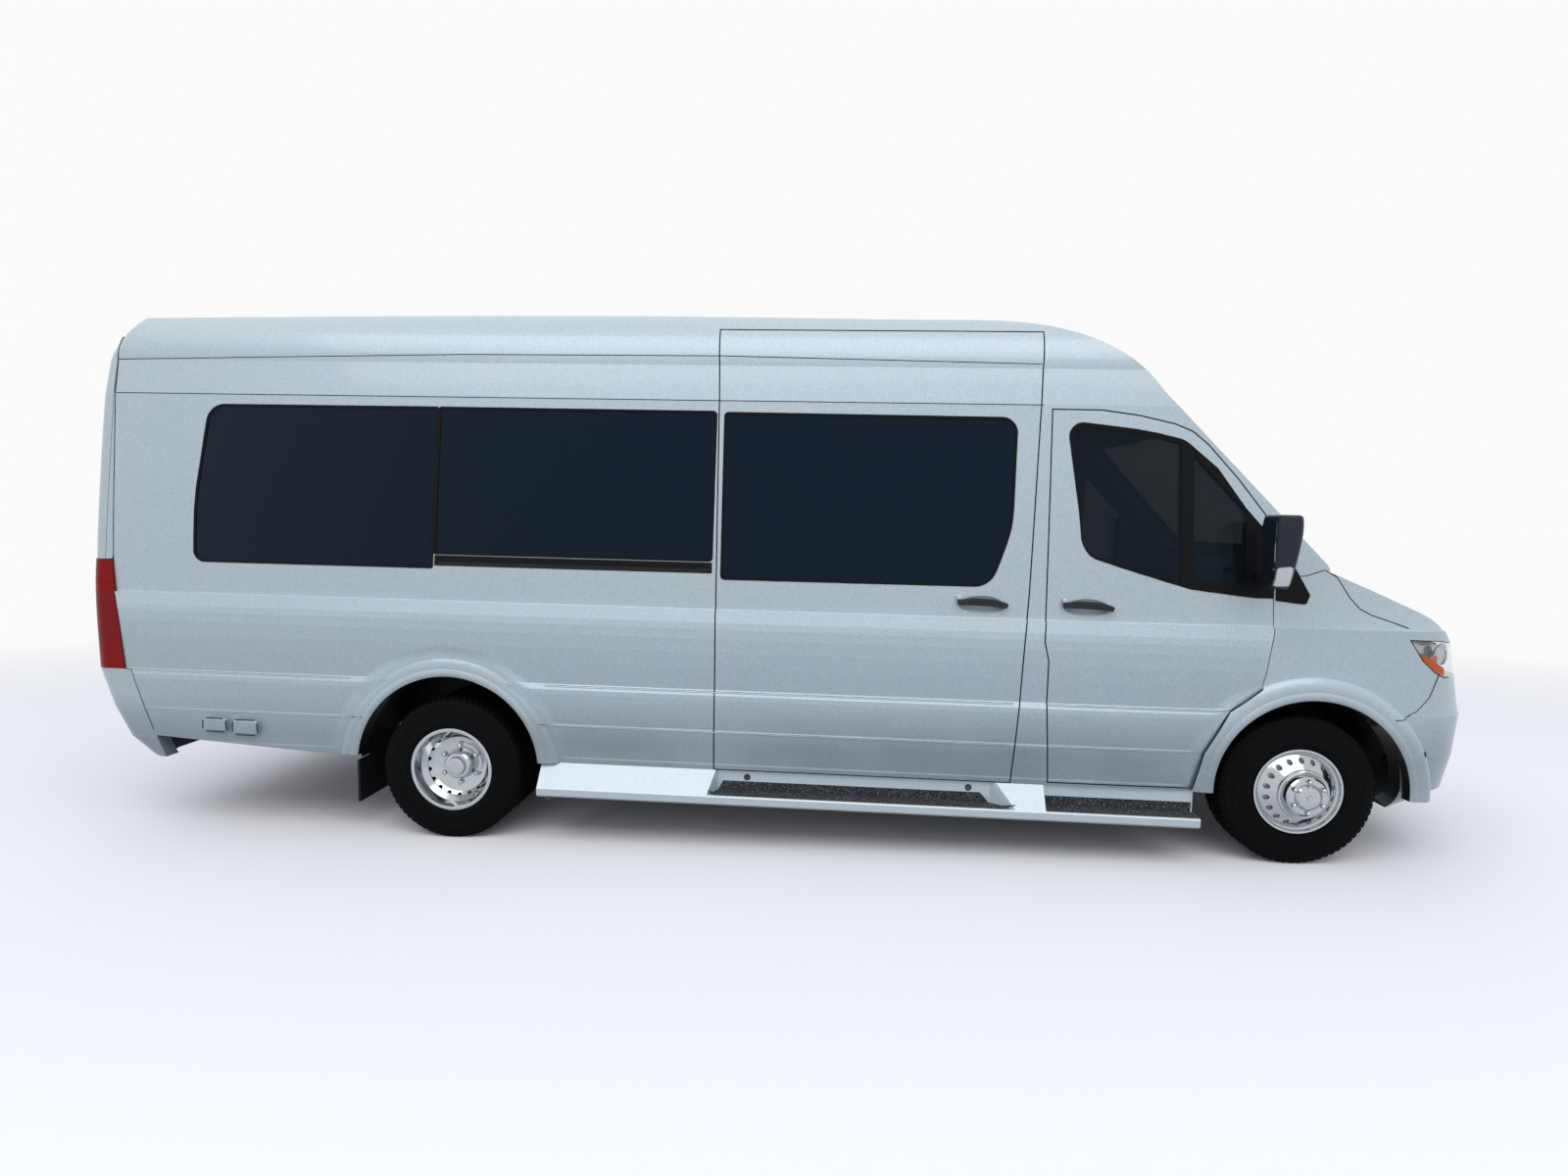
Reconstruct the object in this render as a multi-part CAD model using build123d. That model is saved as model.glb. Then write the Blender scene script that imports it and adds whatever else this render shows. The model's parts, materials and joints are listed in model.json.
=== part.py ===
from build123d import *
import os
from math import cos, radians, sin, sqrt, tan

# A full-size, extra-long, high-roof passenger van with twin rear wheels, standing unladen on its wheels.
# Sizes are millimetres. +X is ahead, +Y is the van's left, +Z is up, and the origin is on the ground at the
# middle of the length. The body is drawn level and then tipped nose-down by its rake, while the wheels and
# the steered uprights are drawn where they stand.

# Driving sizes
BODY_RAKE = 1.07
WHEELBASE = 4325.0
FRONT_AXLE_X = 2657.5
AXLE_HEIGHT = 376.0
FRONT_TRACK = 1736.0
REAR_TWIN_CENTRE = 773.0
TWIN_SPACING = 246.0
TYRE_RADIUS = 376.0
TYRE_WIDTH = 215.0
RIM_RADIUS = 203.0
KINGPIN_Y = 790.0

PANEL = 50.0          # thickness of doors, bonnet and wings
WALL = 75.0           # thickness of the lined body walls
SEAT = 0.3            # clearance of pieces that rest on each other
DOOR_GAP = 7.0        # gap round a closing
SEAM = 0.6            # gap between fixed outer panels
LAP = 25.0            # how far a closing laps over its frame
GLASS = 6.0
GLASS_DEPTH = 2.0     # how far a pane lies below the body surface

FLOOR_TOP = 640.0
FLOOR_BOTTOM = 600.0
RAIL_BOTTOM = 482.0
RAIL_Y = 470.0
RAIL_WIDTH = 76.0
RAIL_FRONT, RAIL_REAR = 3430.0, -3500.0

GUTTER = 2310.0
WAIST = 1238.0
RUB_LINE = 822.0
SILL_TOP = 610.0
SILL_EDGE = 405.0      # lower edge of the side panels between the axles
BELLY = 440.0
SKIRT = 330.0
ROOF_CREASE = 2494.0
SLIDING_TOP = 2690.0
REAR_DOOR_BOTTOM = 655.0
REAR_DOOR_TOP = 2640.0
SIDE_SEAM_X = -3607.0
BUMPER_TOP = 1000.0

REAR_ARCH = (-1690.0, 352.0)
REAR_ARCH_RADIUS = 492.0
FRONT_ARCH = (2688.0, 430.0)
FRONT_ARCH_RADIUS = 460.0
LINER = 12.0
LINER_ROOM = 14.0

REAR_AXLE_X = FRONT_AXLE_X - WHEELBASE
FAR = 1250.0          # beyond the side of the van


# ---------------------------------------------------------------- the outer form of the body
SHOULDER_RISE = 330.0
SHOULDER_IN = 332.0
CROWN_HALF = 500.0


def shoulder(z):
    """Half width of the high roof's rounded shoulder at height z."""
    share = min(1.0, (z - ROOF_CREASE) / SHOULDER_RISE)
    return CROWN_HALF + SHOULDER_IN * sqrt(1 - share**2)


def level(z, half, tail, nose, corner, lean=1.0):
    """One horizontal section: half width, ends on the centre line, tail corner radius, taper ahead."""
    return dict(z=z, half=half, tail=tail, nose=nose, corner=corner, lean=lean)


# Bands of sections, one above the other. A band is smooth when it has more than two sections, and the
# body's creases and steps lie where two bands meet.
BANDS = [
    [level(SKIRT, 962, -3470, 3430, 160), level(BELLY, 990, -3570, 3625, 150)],
    [level(BELLY, 990, -3570, 3625, 150), level(SILL_TOP, 1003, -3650, 3655, 150)],
    [level(SILL_TOP, 1003, -3650, 3655, 150), level(RUB_LINE, 1009, -3692, 3669, 110)],
    [level(RUB_LINE, 1003, -3689, 3666, 110), level(WAIST, 990, -3704, 3600, 75)],
    [
        level(WAIST, 978, -3701, 3597, 75, 1.05),
        level(1412, 962, -3706, 3560, 70, 1.5),
        level(1650, 939, -3709, 3540, 70, 1.8),
        level(1900, 912, -3710, 3520, 70, 2.0),
        level(GUTTER, 866, -3706, 3500, 70, 2.2),
    ],
    [level(GUTTER, 866, -3706, 3500, 70, 2.2), level(ROOF_CREASE, 832, -3696, 3500, 70, 2.2)],
    [
        level(z, shoulder(z), -3696 + 0.45 * (z - ROOF_CREASE), 3500, 70, 2.2)
        for z in (ROOF_CREASE, 2580, 2660, 2720, 2770, 2805, 2823)
    ],
]
STRAIGHT_END = 1400.0     # the side walls run straight back from here
TAPER = 58.0              # taper of each side from there to the nose corner, where lean is 1
CORNER_BACK = 434.0       # from the nose back to where the corner starts
CORNER_AHEAD = 149.0      # from the nose back to where the corner ends
CORNER_HALF = 0.742       # half width of the nose between its corners, as a share of the body's
TAIL_BULGE = 8.0


def plan_section(at, inset):
    """The horizontal section of the body as a face, with its walls moved in by inset."""
    z, half, corner = at["z"], at["half"] - inset, max(at["corner"] - 0.6 * inset, 20.0)
    tail, nose = at["tail"] + inset, at["nose"] - inset
    back, turn = tail + TAIL_BULGE, corner * (1 - sqrt(0.5))
    taper_x, taper_y = nose - CORNER_BACK, half - TAPER * at["lean"]
    nose_x, nose_y = nose - CORNER_AHEAD, CORNER_HALF * half
    taper_mid = (0.5 * (STRAIGHT_END + taper_x), half - 0.25 * TAPER * at["lean"])
    edges = [ThreePointArc((back, corner - half, z), (tail, 0, z), (back, half - corner, z))]
    for side in (1, -1):
        side_edges = [
            ThreePointArc(
                (back, side * (half - corner), z),
                (back + turn, side * (half - turn), z),
                (back + corner, side * half, z),
            ),
            Line((back + corner, side * half, z), (STRAIGHT_END, side * half, z)),
            ThreePointArc(
                (STRAIGHT_END, side * half, z),
                (taper_mid[0], side * taper_mid[1], z),
                (taper_x, side * taper_y, z),
            ),
        ]
        side_edges.append(
            TangentArc(
                (taper_x, side * taper_y, z),
                (nose_x, side * nose_y, z),
                tangent=side_edges[-1] % 1,
            )
        )
        edges += side_edges if side > 0 else []
        right = side_edges
    front = ThreePointArc((nose_x, nose_y, z), (nose, 0, z), (nose_x, -nose_y, z))
    return Face(Wire([e for line in edges + [front] + right[::-1] for e in line.edges()]))


# The top surfaces in side view, at BOW_Y from the centre line, each with its shift at the centre line:
# roof and forehead, windscreen, scuttle and bonnet.
BOW_Y = 800.0
ROOF_LINE = [
    ((-4000, 2722), (0, 58)),
    ((-2700, 2744), (0, 58)),
    ((-300, 2762), (0, 58)),
    ((900, 2752), (0, 58)),
    ((1364, 2727), (40, 52)),
    ((1600, 2655), (80, 35)),
    ((1793, 2548), (110, 15)),
    ((1948, 2392), (125, 0)),
]
SCREEN_FOOT = ((2779, 1549), (125, 0))
BONNET_LINE = [
    ((2800, 1512), (115, 10)),
    ((2985, 1437), (100, 28)),
    ((3202, 1341), (90, 25)),
    ((3304, 1286), (80, 20)),
    ((3411, 1172), (80, 15)),
    ((3530, 1060), (80, 10)),
]
AHEAD, BEHIND, BELOW = 4300.0, -4000.0, -300.0


def top_section(y, inset):
    """The side view of the top surfaces at y, lowered by inset."""
    bow = 1 - (y / BOW_Y) ** 2

    def at(point):
        (x, z), (dx, dz) = point
        return (x + dx * bow, y, z + dz * bow - inset)

    roof, bonnet = [at(p) for p in ROOF_LINE], [at(p) for p in BONNET_LINE]
    foot, chin = at(SCREEN_FOOT), (AHEAD, y, 700 - inset)
    lines = [
        Spline(roof),
        Line(roof[-1], foot),
        Line(foot, bonnet[0]),
        Spline(bonnet),
        Line(bonnet[-1], chin),
        Line(chin, (AHEAD, y, BELOW)),
        Line((AHEAD, y, BELOW), (BEHIND, y, BELOW)),
        Line((BEHIND, y, BELOW), roof[0]),
    ]
    return Wire([e for line in lines for e in line.edges()])


def body_form(inset):
    """The body's bands as solids, with every wall moved in by inset."""
    top = Solid.make_loft([top_section(y, inset) for y in (-1080, 0, 1080)], False)
    form = []
    for sections in BANDS:
        wires = [plan_section(at, inset).outer_wire() for at in sections]
        band = Solid.make_loft(wires, len(sections) == 2)
        form.append(band.intersect(top)[0])
    return form


OUTSIDE = body_form(0)
PANEL_BACK = body_form(PANEL)
LINING_FACE = body_form(PANEL + SEAT)
INSIDE = body_form(WALL)
ROOM = body_form(WALL + SEAT)


# ---------------------------------------------------------------- helpers
def solids_of(shapes):
    """Every solid in a shape or a list of shapes."""
    shapes = shapes if isinstance(shapes, (list, tuple, ShapeList)) else [shapes]
    return [s for shape in shapes if shape is not None for s in shape.solids()]


CRUMB = 20000.0       # a cut leaves no loose crumb smaller than this, in cubic millimetres


def common(shapes, tool):
    """What a list of solids shares with a tool."""
    found = []
    for solid in solids_of(shapes):
        for part in solids_of(tool):
            found += [s for s in solids_of(solid.intersect(part) or []) if s.volume > CRUMB]
    return found


def less(shapes, *tools):
    """A list of solids with the tools cut away."""
    left = solids_of(shapes)
    for tool in tools:
        for part in solids_of(tool):
            cut = []
            for solid in left:
                cut += [s for s in solids_of(solid - part) if s.volume > CRUMB]
            left = cut
    return left


def joined(*shapes):
    """Solids fused where they meet."""
    parts = solids_of([s for group in shapes for s in solids_of(group)])
    if len(parts) < 2:
        return parts
    return solids_of(parts[0].fuse(*parts[1:]))


def layer(outer, inner):
    """The wall between two forms of the body, band by band."""
    return [solids_of(a - b) for a, b in zip(outer, inner)]


def within(bands, *tools):
    """The part of a layer that lies in all the tools, fused across its bands."""
    found = []
    for band in bands:
        kept = band
        for tool in tools:
            kept = common(kept, tool)
        found += kept
    return joined(found)


def outline_face(points, radii, grow):
    """A face with these corners, rounded where they have radii, and widened all round by grow."""
    line = FilletPolyline(*points, radius=radii, close=True) if radii else Polyline(*points, close=True)
    face = make_face(line)
    return offset(face, amount=grow, kind=Kind.INTERSECTION) if grow else face


def side_slab(corners, y0=-FAR, y1=FAR, grow=0):
    """A solid with these corners in side view, from y0 to y1; a corner's third number is its radius."""
    radii = [c[2] for c in corners if len(c) > 2]
    face = outline_face([(c[0], y0, c[1]) for c in corners], radii, grow)
    return extrude(face, amount=y1 - y0, dir=(0, 1, 0)).solid()


def end_slab(corners, x0, x1, grow=0):
    """A solid with these (y, z) corners in end view, from x0 to x1; a corner's third number is its radius."""
    radii = [c[2] for c in corners if len(c) > 2]
    face = outline_face([(x0, c[0], c[1]) for c in corners], radii, grow)
    return extrude(face, amount=x1 - x0, dir=(1, 0, 0)).solid()


def block(x0, x1, y0, y1, z0, z1):
    """A box between two corners."""
    return Solid.make_box(x1 - x0, y1 - y0, z1 - z0).moved(Location((x0, y0, z0)))


def rod(start, end, radius):
    """A round bar from start to end."""
    axis = Vector(end) - Vector(start)
    return Solid.make_cylinder(radius, axis.length, Plane(origin=start, z_dir=axis))


def ring(centre, radius, hole, y0, y1):
    """A round ring about a line across the van."""
    outer = rod((centre[0], y0, centre[1]), (centre[0], y1, centre[1]), radius)
    return outer - rod((centre[0], y0 - 1, centre[1]), (centre[0], y1 + 1, centre[1]), hole)


def disc(centre, radius, y0=-FAR, y1=FAR):
    """A round bar across the van, used to open a wheel arch."""
    return rod((centre[0], y0, centre[1]), (centre[0], y1, centre[1]), radius)


def other_side(shapes):
    """The same solids on the other side of the van."""
    return [s.mirror(Plane.XZ) for s in solids_of(shapes)]


def bowed_block(x_front, x_back, z0, z1):
    """A block whose ends are bowed ahead as the windscreen is."""
    sections = []
    for y in (-1080, 0, 1080):
        shift = SCREEN_FOOT[1][0] * (1 - (y / BOW_Y) ** 2)
        corners = [(x_back, z0), (x_front, z0), (x_front, z1), (x_back, z1)]
        sections.append(Polyline(*[(x + shift, y, z) for x, z in corners], close=True).wire())
    return Solid.make_loft(sections, False)


def sunk(shape, depth):
    """The part of a right-hand cutting shape that lies less than depth below the body's side."""
    left = solids_of(shape)
    for band in OUTSIDE:
        left = less(left, band.moved(Location((0, depth, 0))))
    return left


def bowl(x0, x1, y, z, depth, radius):
    """A long hollow behind a pull handle: a spindle along the body, sunk by depth into a wall at y."""
    out = y - radius + depth
    arc = ThreePointArc((x0, out, z), ((x0 + x1) / 2, out + radius, z), (x1, out, z))
    return revolve(make_face(arc + Line((x1, out, z), (x0, out, z))), Axis((x0, out, z), (1, 0, 0)), 360).solid()


SKIN = layer(OUTSIDE, PANEL_BACK)
LINING = layer(LINING_FACE, INSIDE)
FRAME = layer(OUTSIDE, INSIDE)
GLASS_BAND = 4        # the band that holds every window
RIGHT = -FAR
INBOARD = -600.0


# ---------------------------------------------------------------- outlines in side view
SLIDING_DOOR = [
    (-270, 407), (-270, 820), (-277, 1416), (-291, 2331), (-306, SLIDING_TOP),
    (1350, SLIDING_TOP), (1334, 2303), (1296, 1355), (1283, 1156), (1267, 821), (1242, 407),
]
CAB_DOOR = [
    (1428, 420), (1399, 822), (1401, 1037), (1379, 1133), (1389, 2289), (1632, 2289), (1817, 2265),
    (1992, 2227), (2079, 2192), (2158, 2127), (2307, 1960), (2456, 1769), (2488, 1700), (2484, 1376),
    (2481, 1197), (2453, 1004), (2434, 936), (2285, 819), (2172, 610), (2127, 420),
]
LAMP_TOP_LINE = [(3136, 1195), (3300, 1190), (3500, 1160), (3900, 1095)]
BONNET_SEAM = [(2798, 1488), (2858, 1390), (2902, 1340), (2960, 1309), (3067, 1275), (3136, 1250)]
BONNET = [(2700, 1700)] + BONNET_SEAM + LAMP_TOP_LINE + [(3900, 1700)]
HEADLAMP_SEAM = [(3203, 1093), (3271, 1037), (3330, 1012), (3900, BUMPER_TOP)]
HEADLAMP = LAMP_TOP_LINE + HEADLAMP_SEAM[::-1]
BUMPER_SEAM = [(3293, 1027.7), (3245, 916), (3188, 846), (3128, 814), (3000, 809)]
FRONT_BUMPER = [(3900, BUMPER_TOP), (3330, 1012)] + BUMPER_SEAM + [(3000, 300), (3900, 300)]
WING = (
    [(2127, 410), (2172, 610), (2285, 819), (2434, 936), (2453, 1004), (2481, 1197), (2484, 1376)]
    + [(2490, 1488), (2641, 1492), (2736, 1524)]
    + BONNET_SEAM
    + [(3136, 1195)]
    + HEADLAMP_SEAM[:2]
    + BUMPER_SEAM
    + [(3000, 410)]
)
TAIL_LAMP = [(-3800, 1408), (-3563, 1415), (-3480, 822), (-3800, 822)]
SIDE_PANEL = [
    (SIDE_SEAM_X, GUTTER), (1310, GUTTER), (1266, 1355), (1253, 1156), (1237, 821), (1212, SILL_EDGE),
    (-1203, SILL_EDGE), (-2154, 381), (-3332, 458), (-3394, 646), (-3427, 748), (-3445, 822),
    (-3480, 822), (-3563, 1415), (SIDE_SEAM_X, 1411),
]
REAR_BUMPER = [(-3332, 458), (-3394, 646), (-3427, 748), (-3445, 822), (-3900, 822), (-3900, 300), (-3300, 300)]
# A window's corners, each with its radius
REAR_WINDOWS = [
    [(-3100, 1416, 60), (-3108, 1740, 900), (-3054, 2250, 95), (-1783, 2252, 8), (-1783, 1416, 8)],
    [(-1771, 1490, 8), (-1771, 2252, 8), (-305, 2250, 16), (-305, 1490, 16)],
]
SLIDING_WINDOW = [
    (-256, 2246, 16), (1216, 2240, 72), (1202, 1690, 600), (1100, 1403, 110), (-250, 1401, 16),
]
DOOR_WINDOW = [
    (1484, 2214, 66), (1860, 2172, 900), (2029, 2130, 8), (2029, 1430, 8), (1790, 1500, 700), (1548, 1582, 110),
]
QUARTER_WINDOW = [(2081, 2084, 8), (2352, 1800, 30), (2352, 1440, 30), (2081, 1440, 8)]
WINDSCREEN = [(-800, 1575, 50), (-728, 2300, 70), (728, 2300, 70), (800, 1575, 50)]
REAR_DOOR_WINDOW = [(-768, 1450, 60), (-704, 2160, 80), (-130, 2180, 40), (-130, 1450, 40)]
SLIDE_RAIL = [(-1771, 1424), (-1771, 1480), (-300, 1480), (-300, 1424)]
RAIL_DEPTH = 16.0

# The slanted shut face between a rear door and the tail lamp, in plan: how far in from the side it lies
LAMP_SHUT_REAR = 905.0
LAMP_SHUT_FRONT = 862.0


def lamp_corner(gap=0.0, bottom=REAR_DOOR_BOTTOM):
    """The corner of the tail that the lamp and the bumper fill, outboard of the rear door's slanted edge."""
    points = [
        (-3800, -(LAMP_SHUT_REAR + 30) + gap), (-3600, -(LAMP_SHUT_FRONT - 30) + gap),
        (-3000, -(LAMP_SHUT_FRONT - 30) + gap), (-3000, RIGHT), (-3800, RIGHT),
    ]
    face = make_face(Polyline(*[(x, y, bottom) for x, y in points], close=True))
    return extrude(face, amount=1411 - bottom, dir=(0, 0, 1)).solid()


def pane(outline, depth=GLASS_DEPTH, thickness=GLASS, side=-1):
    """A side pane that follows the body surface, inside an opening with this outline."""
    body = OUTSIDE[GLASS_BAND]
    y0, y1 = sorted((side * FAR, side * 700))
    window = side_slab(outline, y0, y1, grow=-SEAT)
    face = body.moved(Location((0, -side * depth, 0)))
    back = body.moved(Location((0, -side * (depth + thickness), 0)))
    return less(common([face], window), back)


def closing(outline, y1=INBOARD):
    """A door made of the body's outer layer inside an outline, on the right-hand side."""
    return within(SKIN, side_slab(outline, RIGHT, y1, grow=-DOOR_GAP / 2))


# ---------------------------------------------------------------- closings
def cab_door():
    door = closing(CAB_DOOR)
    door = less(door, side_slab(DOOR_WINDOW, RIGHT, INBOARD), side_slab(QUARTER_WINDOW, RIGHT, INBOARD))
    return with_handle(door, 1454, 1711)


HANDLE_Z = 1311.0
HANDLE_WALL = 971.0       # the body's side at the handles
BOWL_DEPTH = 22.0
BOWL_RADIUS = 56.0


def with_handle(door, x0, x1):
    """A door with the bowl of its pull handle, and the grip that bridges the bowl."""
    door = less(door, bowl(x0 - BOWL_RADIUS, x1 + BOWL_RADIUS, -HANDLE_WALL, HANDLE_Z, BOWL_DEPTH, BOWL_RADIUS))
    grip = [
        (x0 + 3, HANDLE_Z - 4, 7), (x0 + 7, HANDLE_Z + 18, 9), (x0 + 80, HANDLE_Z + 30, 60), (x0 + 190, HANDLE_Z + 26, 60),
        (x1 - 4, HANDLE_Z + 4, 9), (x1 - 14, HANDLE_Z - 16, 6), (x1 - 60, HANDLE_Z - 8, 60), (x0 + 70, HANDLE_Z - 4, 90),
    ]
    bar = side_slab(grip, -HANDLE_WALL - 27, -HANDLE_WALL - 9)
    bar = chamfer(bar.faces().sort_by(Axis.Y)[0].edges(), 4).solid()
    feet = [
        block(x, x + 36, -HANDLE_WALL - 12, -HANDLE_WALL + BOWL_DEPTH + 8, HANDLE_Z + 2, HANDLE_Z + 16)
        for x in (x0 + 8, x1 - 62)
    ]
    return joined(door, [bar], feet)


def sliding_door():
    door = closing(SLIDING_DOOR)
    door = less(door, side_slab(SLIDING_WINDOW, RIGHT, INBOARD))
    return with_handle(door, 939, 1197)


REAR_EDGE = SIDE_SEAM_X - DOOR_GAP / 2


def rear_door():
    outline = [
        (-3900, REAR_DOOR_BOTTOM), (REAR_EDGE, REAR_DOOR_BOTTOM), (REAR_EDGE, REAR_DOOR_TOP), (-3900, REAR_DOOR_TOP),
    ]
    door = within(SKIN, side_slab(outline, RIGHT, -DOOR_GAP / 2))
    door = less(door, lamp_corner(DOOR_GAP + 2))
    return less(door, end_slab(REAR_DOOR_WINDOW, -3900, -3500))


def right_rear_door():
    """The rear door that opens first, with its handle let into it beside the other door."""
    y0, y1, z0, z1, face = -262, -78, 1052, 1112, -3700
    door = less(rear_door(), block(-3800, face + 24, y0, y1, z0, z1))
    grip = block(face, face + 12, y0 + 14, y1 - 14, z0 + 30, z1 - 6)
    feet = [block(face + 6, face + 36, y, y + 26, z0 + 32, z1 - 8) for y in (y0 + 14, y1 - 40)]
    return joined(door, [grip], feet)


def rear_pane():
    body = OUTSIDE[GLASS_BAND]
    window = end_slab(REAR_DOOR_WINDOW, -3900, -3500, grow=-SEAT)
    face = body.moved(Location((GLASS_DEPTH, 0, 0)))
    back = body.moved(Location((GLASS_DEPTH + GLASS, 0, 0)))
    return less(common([face], window), back)


def bonnet():
    region = side_slab(BONNET, grow=0)
    lid = within(SKIN, region)
    lid = less(lid, bowed_block(2798, 1500, 1000, 1800))
    return lid


# ---------------------------------------------------------------- fixed panels
FLARE_OUT = 1014.0
FLARE_LIP = 42.0
FLARE_REACH = 112.0
FLARE_DEEP = 48.0


def flare(centre, radius, foot, deep=FLARE_DEEP):
    """The lip round a wheel arch on the right-hand side: a rolled edge, and a soft bulge that fades into the side."""
    x, z = centre
    y = -FLARE_OUT
    lip, reach = z + radius + FLARE_LIP, z + radius + FLARE_REACH
    rolled = ThreePointArc((x, y + 8, z + radius), (x, y, z + radius + FLARE_LIP / 2), (x, y + 5, lip))
    bulge = ThreePointArc((x, y + 5, lip), (x, y + 7, (lip + reach) / 2), (x, y + 30, reach))
    back = Polyline((x, y + 30, reach), (x, y + deep, reach), (x, y + deep, z + radius), (x, y + 8, z + radius))
    ring_of = revolve(make_face(rolled + bulge + back), Axis((x, 0, z), (0, 1, 0)), 360).solid()
    return common([ring_of], block(x - 700, x + 700, RIGHT, -800, foot, 1300))


def arch_gap(centre, radius):
    return disc(centre, radius, RIGHT, -480)


def side_panel(front_x=None):
    """The right-hand wall; front_x cuts it off behind the sliding door."""
    outline = side_slab(SIDE_PANEL, RIGHT, INBOARD)
    own = within(FRAME, outline)
    if front_x:
        keep = block(-3900, front_x, RIGHT, 0, 0, 3000)
        own = less(common(own, keep), side_slab(SLIDING_DOOR, RIGHT, INBOARD, grow=DOOR_GAP / 2))
        door_lap = block(-400, -270 + LAP, RIGHT, INBOARD, 407, GUTTER)
        own = joined(own, within(LINING, door_lap))
    corner = end_slab(
        [(-FAR, RUB_LINE + SEAT), (-840, RUB_LINE + SEAT), (-840, 1411), (-775, GUTTER), (-FAR, GUTTER)], -3900, -3400
    )
    own = joined(own, within(LINING, corner))
    own = less(own, arch_gap(REAR_ARCH, REAR_ARCH_RADIUS))
    own = joined(own, flare(REAR_ARCH, REAR_ARCH_RADIUS, SILL_EDGE))
    return own


INLETS = [[(-3037, 504, 9), (-3037, 572, 9), (-2913, 571, 9), (-2909, 502, 9)],
          [(-2871, 493, 9), (-2868, 567, 9), (-2738, 564, 9), (-2734, 490, 9)]]
INLET_PROUD = 22.0


def inlet_cover(outline):
    """The hinged cap of a socket low on the side, with bevelled edges."""
    y = max(level_side(z) for _, z, _ in outline) + INLET_PROUD
    cap = side_slab(outline, -y, -y + INLET_PROUD + 30)
    return [chamfer(cap.faces().sort_by(Axis.Y)[0].edges(), 6).solid()]


def level_side(z):
    """Half the body's width at height z, between the wheels."""
    for low, high in zip(BANDS[1][:-1], BANDS[1][1:]):
        share = (z - low["z"]) / (high["z"] - low["z"])
        return low["half"] + share * (high["half"] - low["half"])


def right_side_panel():
    wall = side_panel(-270 + LAP)
    wall = less(wall, sunk(side_slab(SLIDE_RAIL, RIGHT, INBOARD), RAIL_DEPTH))
    wall = joined(wall, *[inlet_cover(i) for i in INLETS])
    return less(wall, *[side_slab(w, RIGHT, INBOARD) for w in REAR_WINDOWS])


LEFT_WINDOWS = REAR_WINDOWS + [[(-293, 1490, 16), (-293, 2250, 16), (1180, 2245, 80), (1180, 1490, 60)]]


def left_side_panel():
    wall = side_panel()
    wall = less(wall, *[side_slab(w, RIGHT, INBOARD) for w in LEFT_WINDOWS])
    return other_side(wall)


def roof():
    over = side_slab([(-3900, GUTTER + SEAT), (2300, GUTTER + SEAT), (2300, 3000), (-3900, 3000)])
    shell = within(FRAME, over)
    shell = less(shell, end_slab(WINDSCREEN, 1700, 3000))
    shell = less(shell, side_slab(SLIDING_DOOR, RIGHT, INBOARD, grow=DOOR_GAP / 2))
    tail = [
        (-3900, 2000), (SIDE_SEAM_X + DOOR_GAP / 2, 2000), (SIDE_SEAM_X + DOOR_GAP / 2, REAR_DOOR_TOP + DOOR_GAP),
        (-3900, REAR_DOOR_TOP + DOOR_GAP),
    ]
    shell = less(shell, side_slab(tail))
    lap_door = side_slab(SLIDING_DOOR, RIGHT, INBOARD, grow=-LAP)
    side_lap = less(within(LINING, block(-400, 1450, RIGHT, INBOARD, GUTTER + SEAT, 2760)), lap_door)
    head = block(-3900, -3500, -760, 760, REAR_DOOR_TOP - LAP, 2760)
    pillars = [block(-3900, -3500, -FAR, -740, GUTTER + SEAT, 2760), block(-3900, -3500, 740, FAR, GUTTER + SEAT, 2760)]
    laps = [within(LINING, b) for b in [head] + pillars]
    return joined(shell, side_lap, *laps)


CAB_REAR = [(1310, GUTTER), (1266, 1355), (1253, 1156), (1237, 821), (1212, SILL_EDGE)]


def cab_frame():
    region = [(x + SEAT, z) for x, z in CAB_REAR] + [(2127, SILL_EDGE), (2600, 700), (3100, 1200), (3100, 1800), (2200, GUTTER)]
    own = within(FRAME, side_slab(region))
    own = less(own, bowed_block(3400, 2792, 1000, 1800))
    wing = side_slab(WING, RIGHT, 0, grow=SEAM / 2)
    door = side_slab(CAB_DOOR, RIGHT, 0, grow=DOOR_GAP / 2)
    sliding = side_slab(SLIDING_DOOR, RIGHT, 0, grow=DOOR_GAP / 2)
    cuts = [wing, door]
    own = less(own, *cuts, *other_side(cuts), sliding)
    liner = side_slab(
        [(x + SEAT, z) for x, z in CAB_REAR] + [(2127, SILL_EDGE), (2500, 700), (2500, 1480), (2700, 1480), (2200, GUTTER)]
    )
    lining = within(LINING, liner)
    hole = side_slab(CAB_DOOR, RIGHT, 0, grow=-LAP)
    slide_hole = side_slab(SLIDING_DOOR, RIGHT, 0, grow=-LAP)
    arch = disc(FRONT_ARCH, FRONT_ARCH_RADIUS + LINER_ROOM + LINER, RIGHT, -480)
    lining = less(lining, hole, arch, *other_side([hole, arch]), slide_hole)
    bulkhead = [s for band in INSIDE for s in common([band], block(2600, 2630, -FAR, FAR, 640, 1560))]
    bulkhead = less(bulkhead, arch, *other_side([arch]))
    frame = joined(own, lining, bulkhead)
    return less(frame, end_slab(WINDSCREEN, 1850, 3100))


def windscreen():
    body = OUTSIDE[GLASS_BAND]
    window = end_slab(WINDSCREEN, 1850, 3100, grow=-SEAT)
    shift = 1 / sqrt(2)
    face = body.moved(Location((-GLASS_DEPTH * shift, 0, -GLASS_DEPTH * shift)))
    deep = (GLASS_DEPTH + GLASS) * shift
    return less(common([face], window), body.moved(Location((-deep, 0, -deep))))


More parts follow.
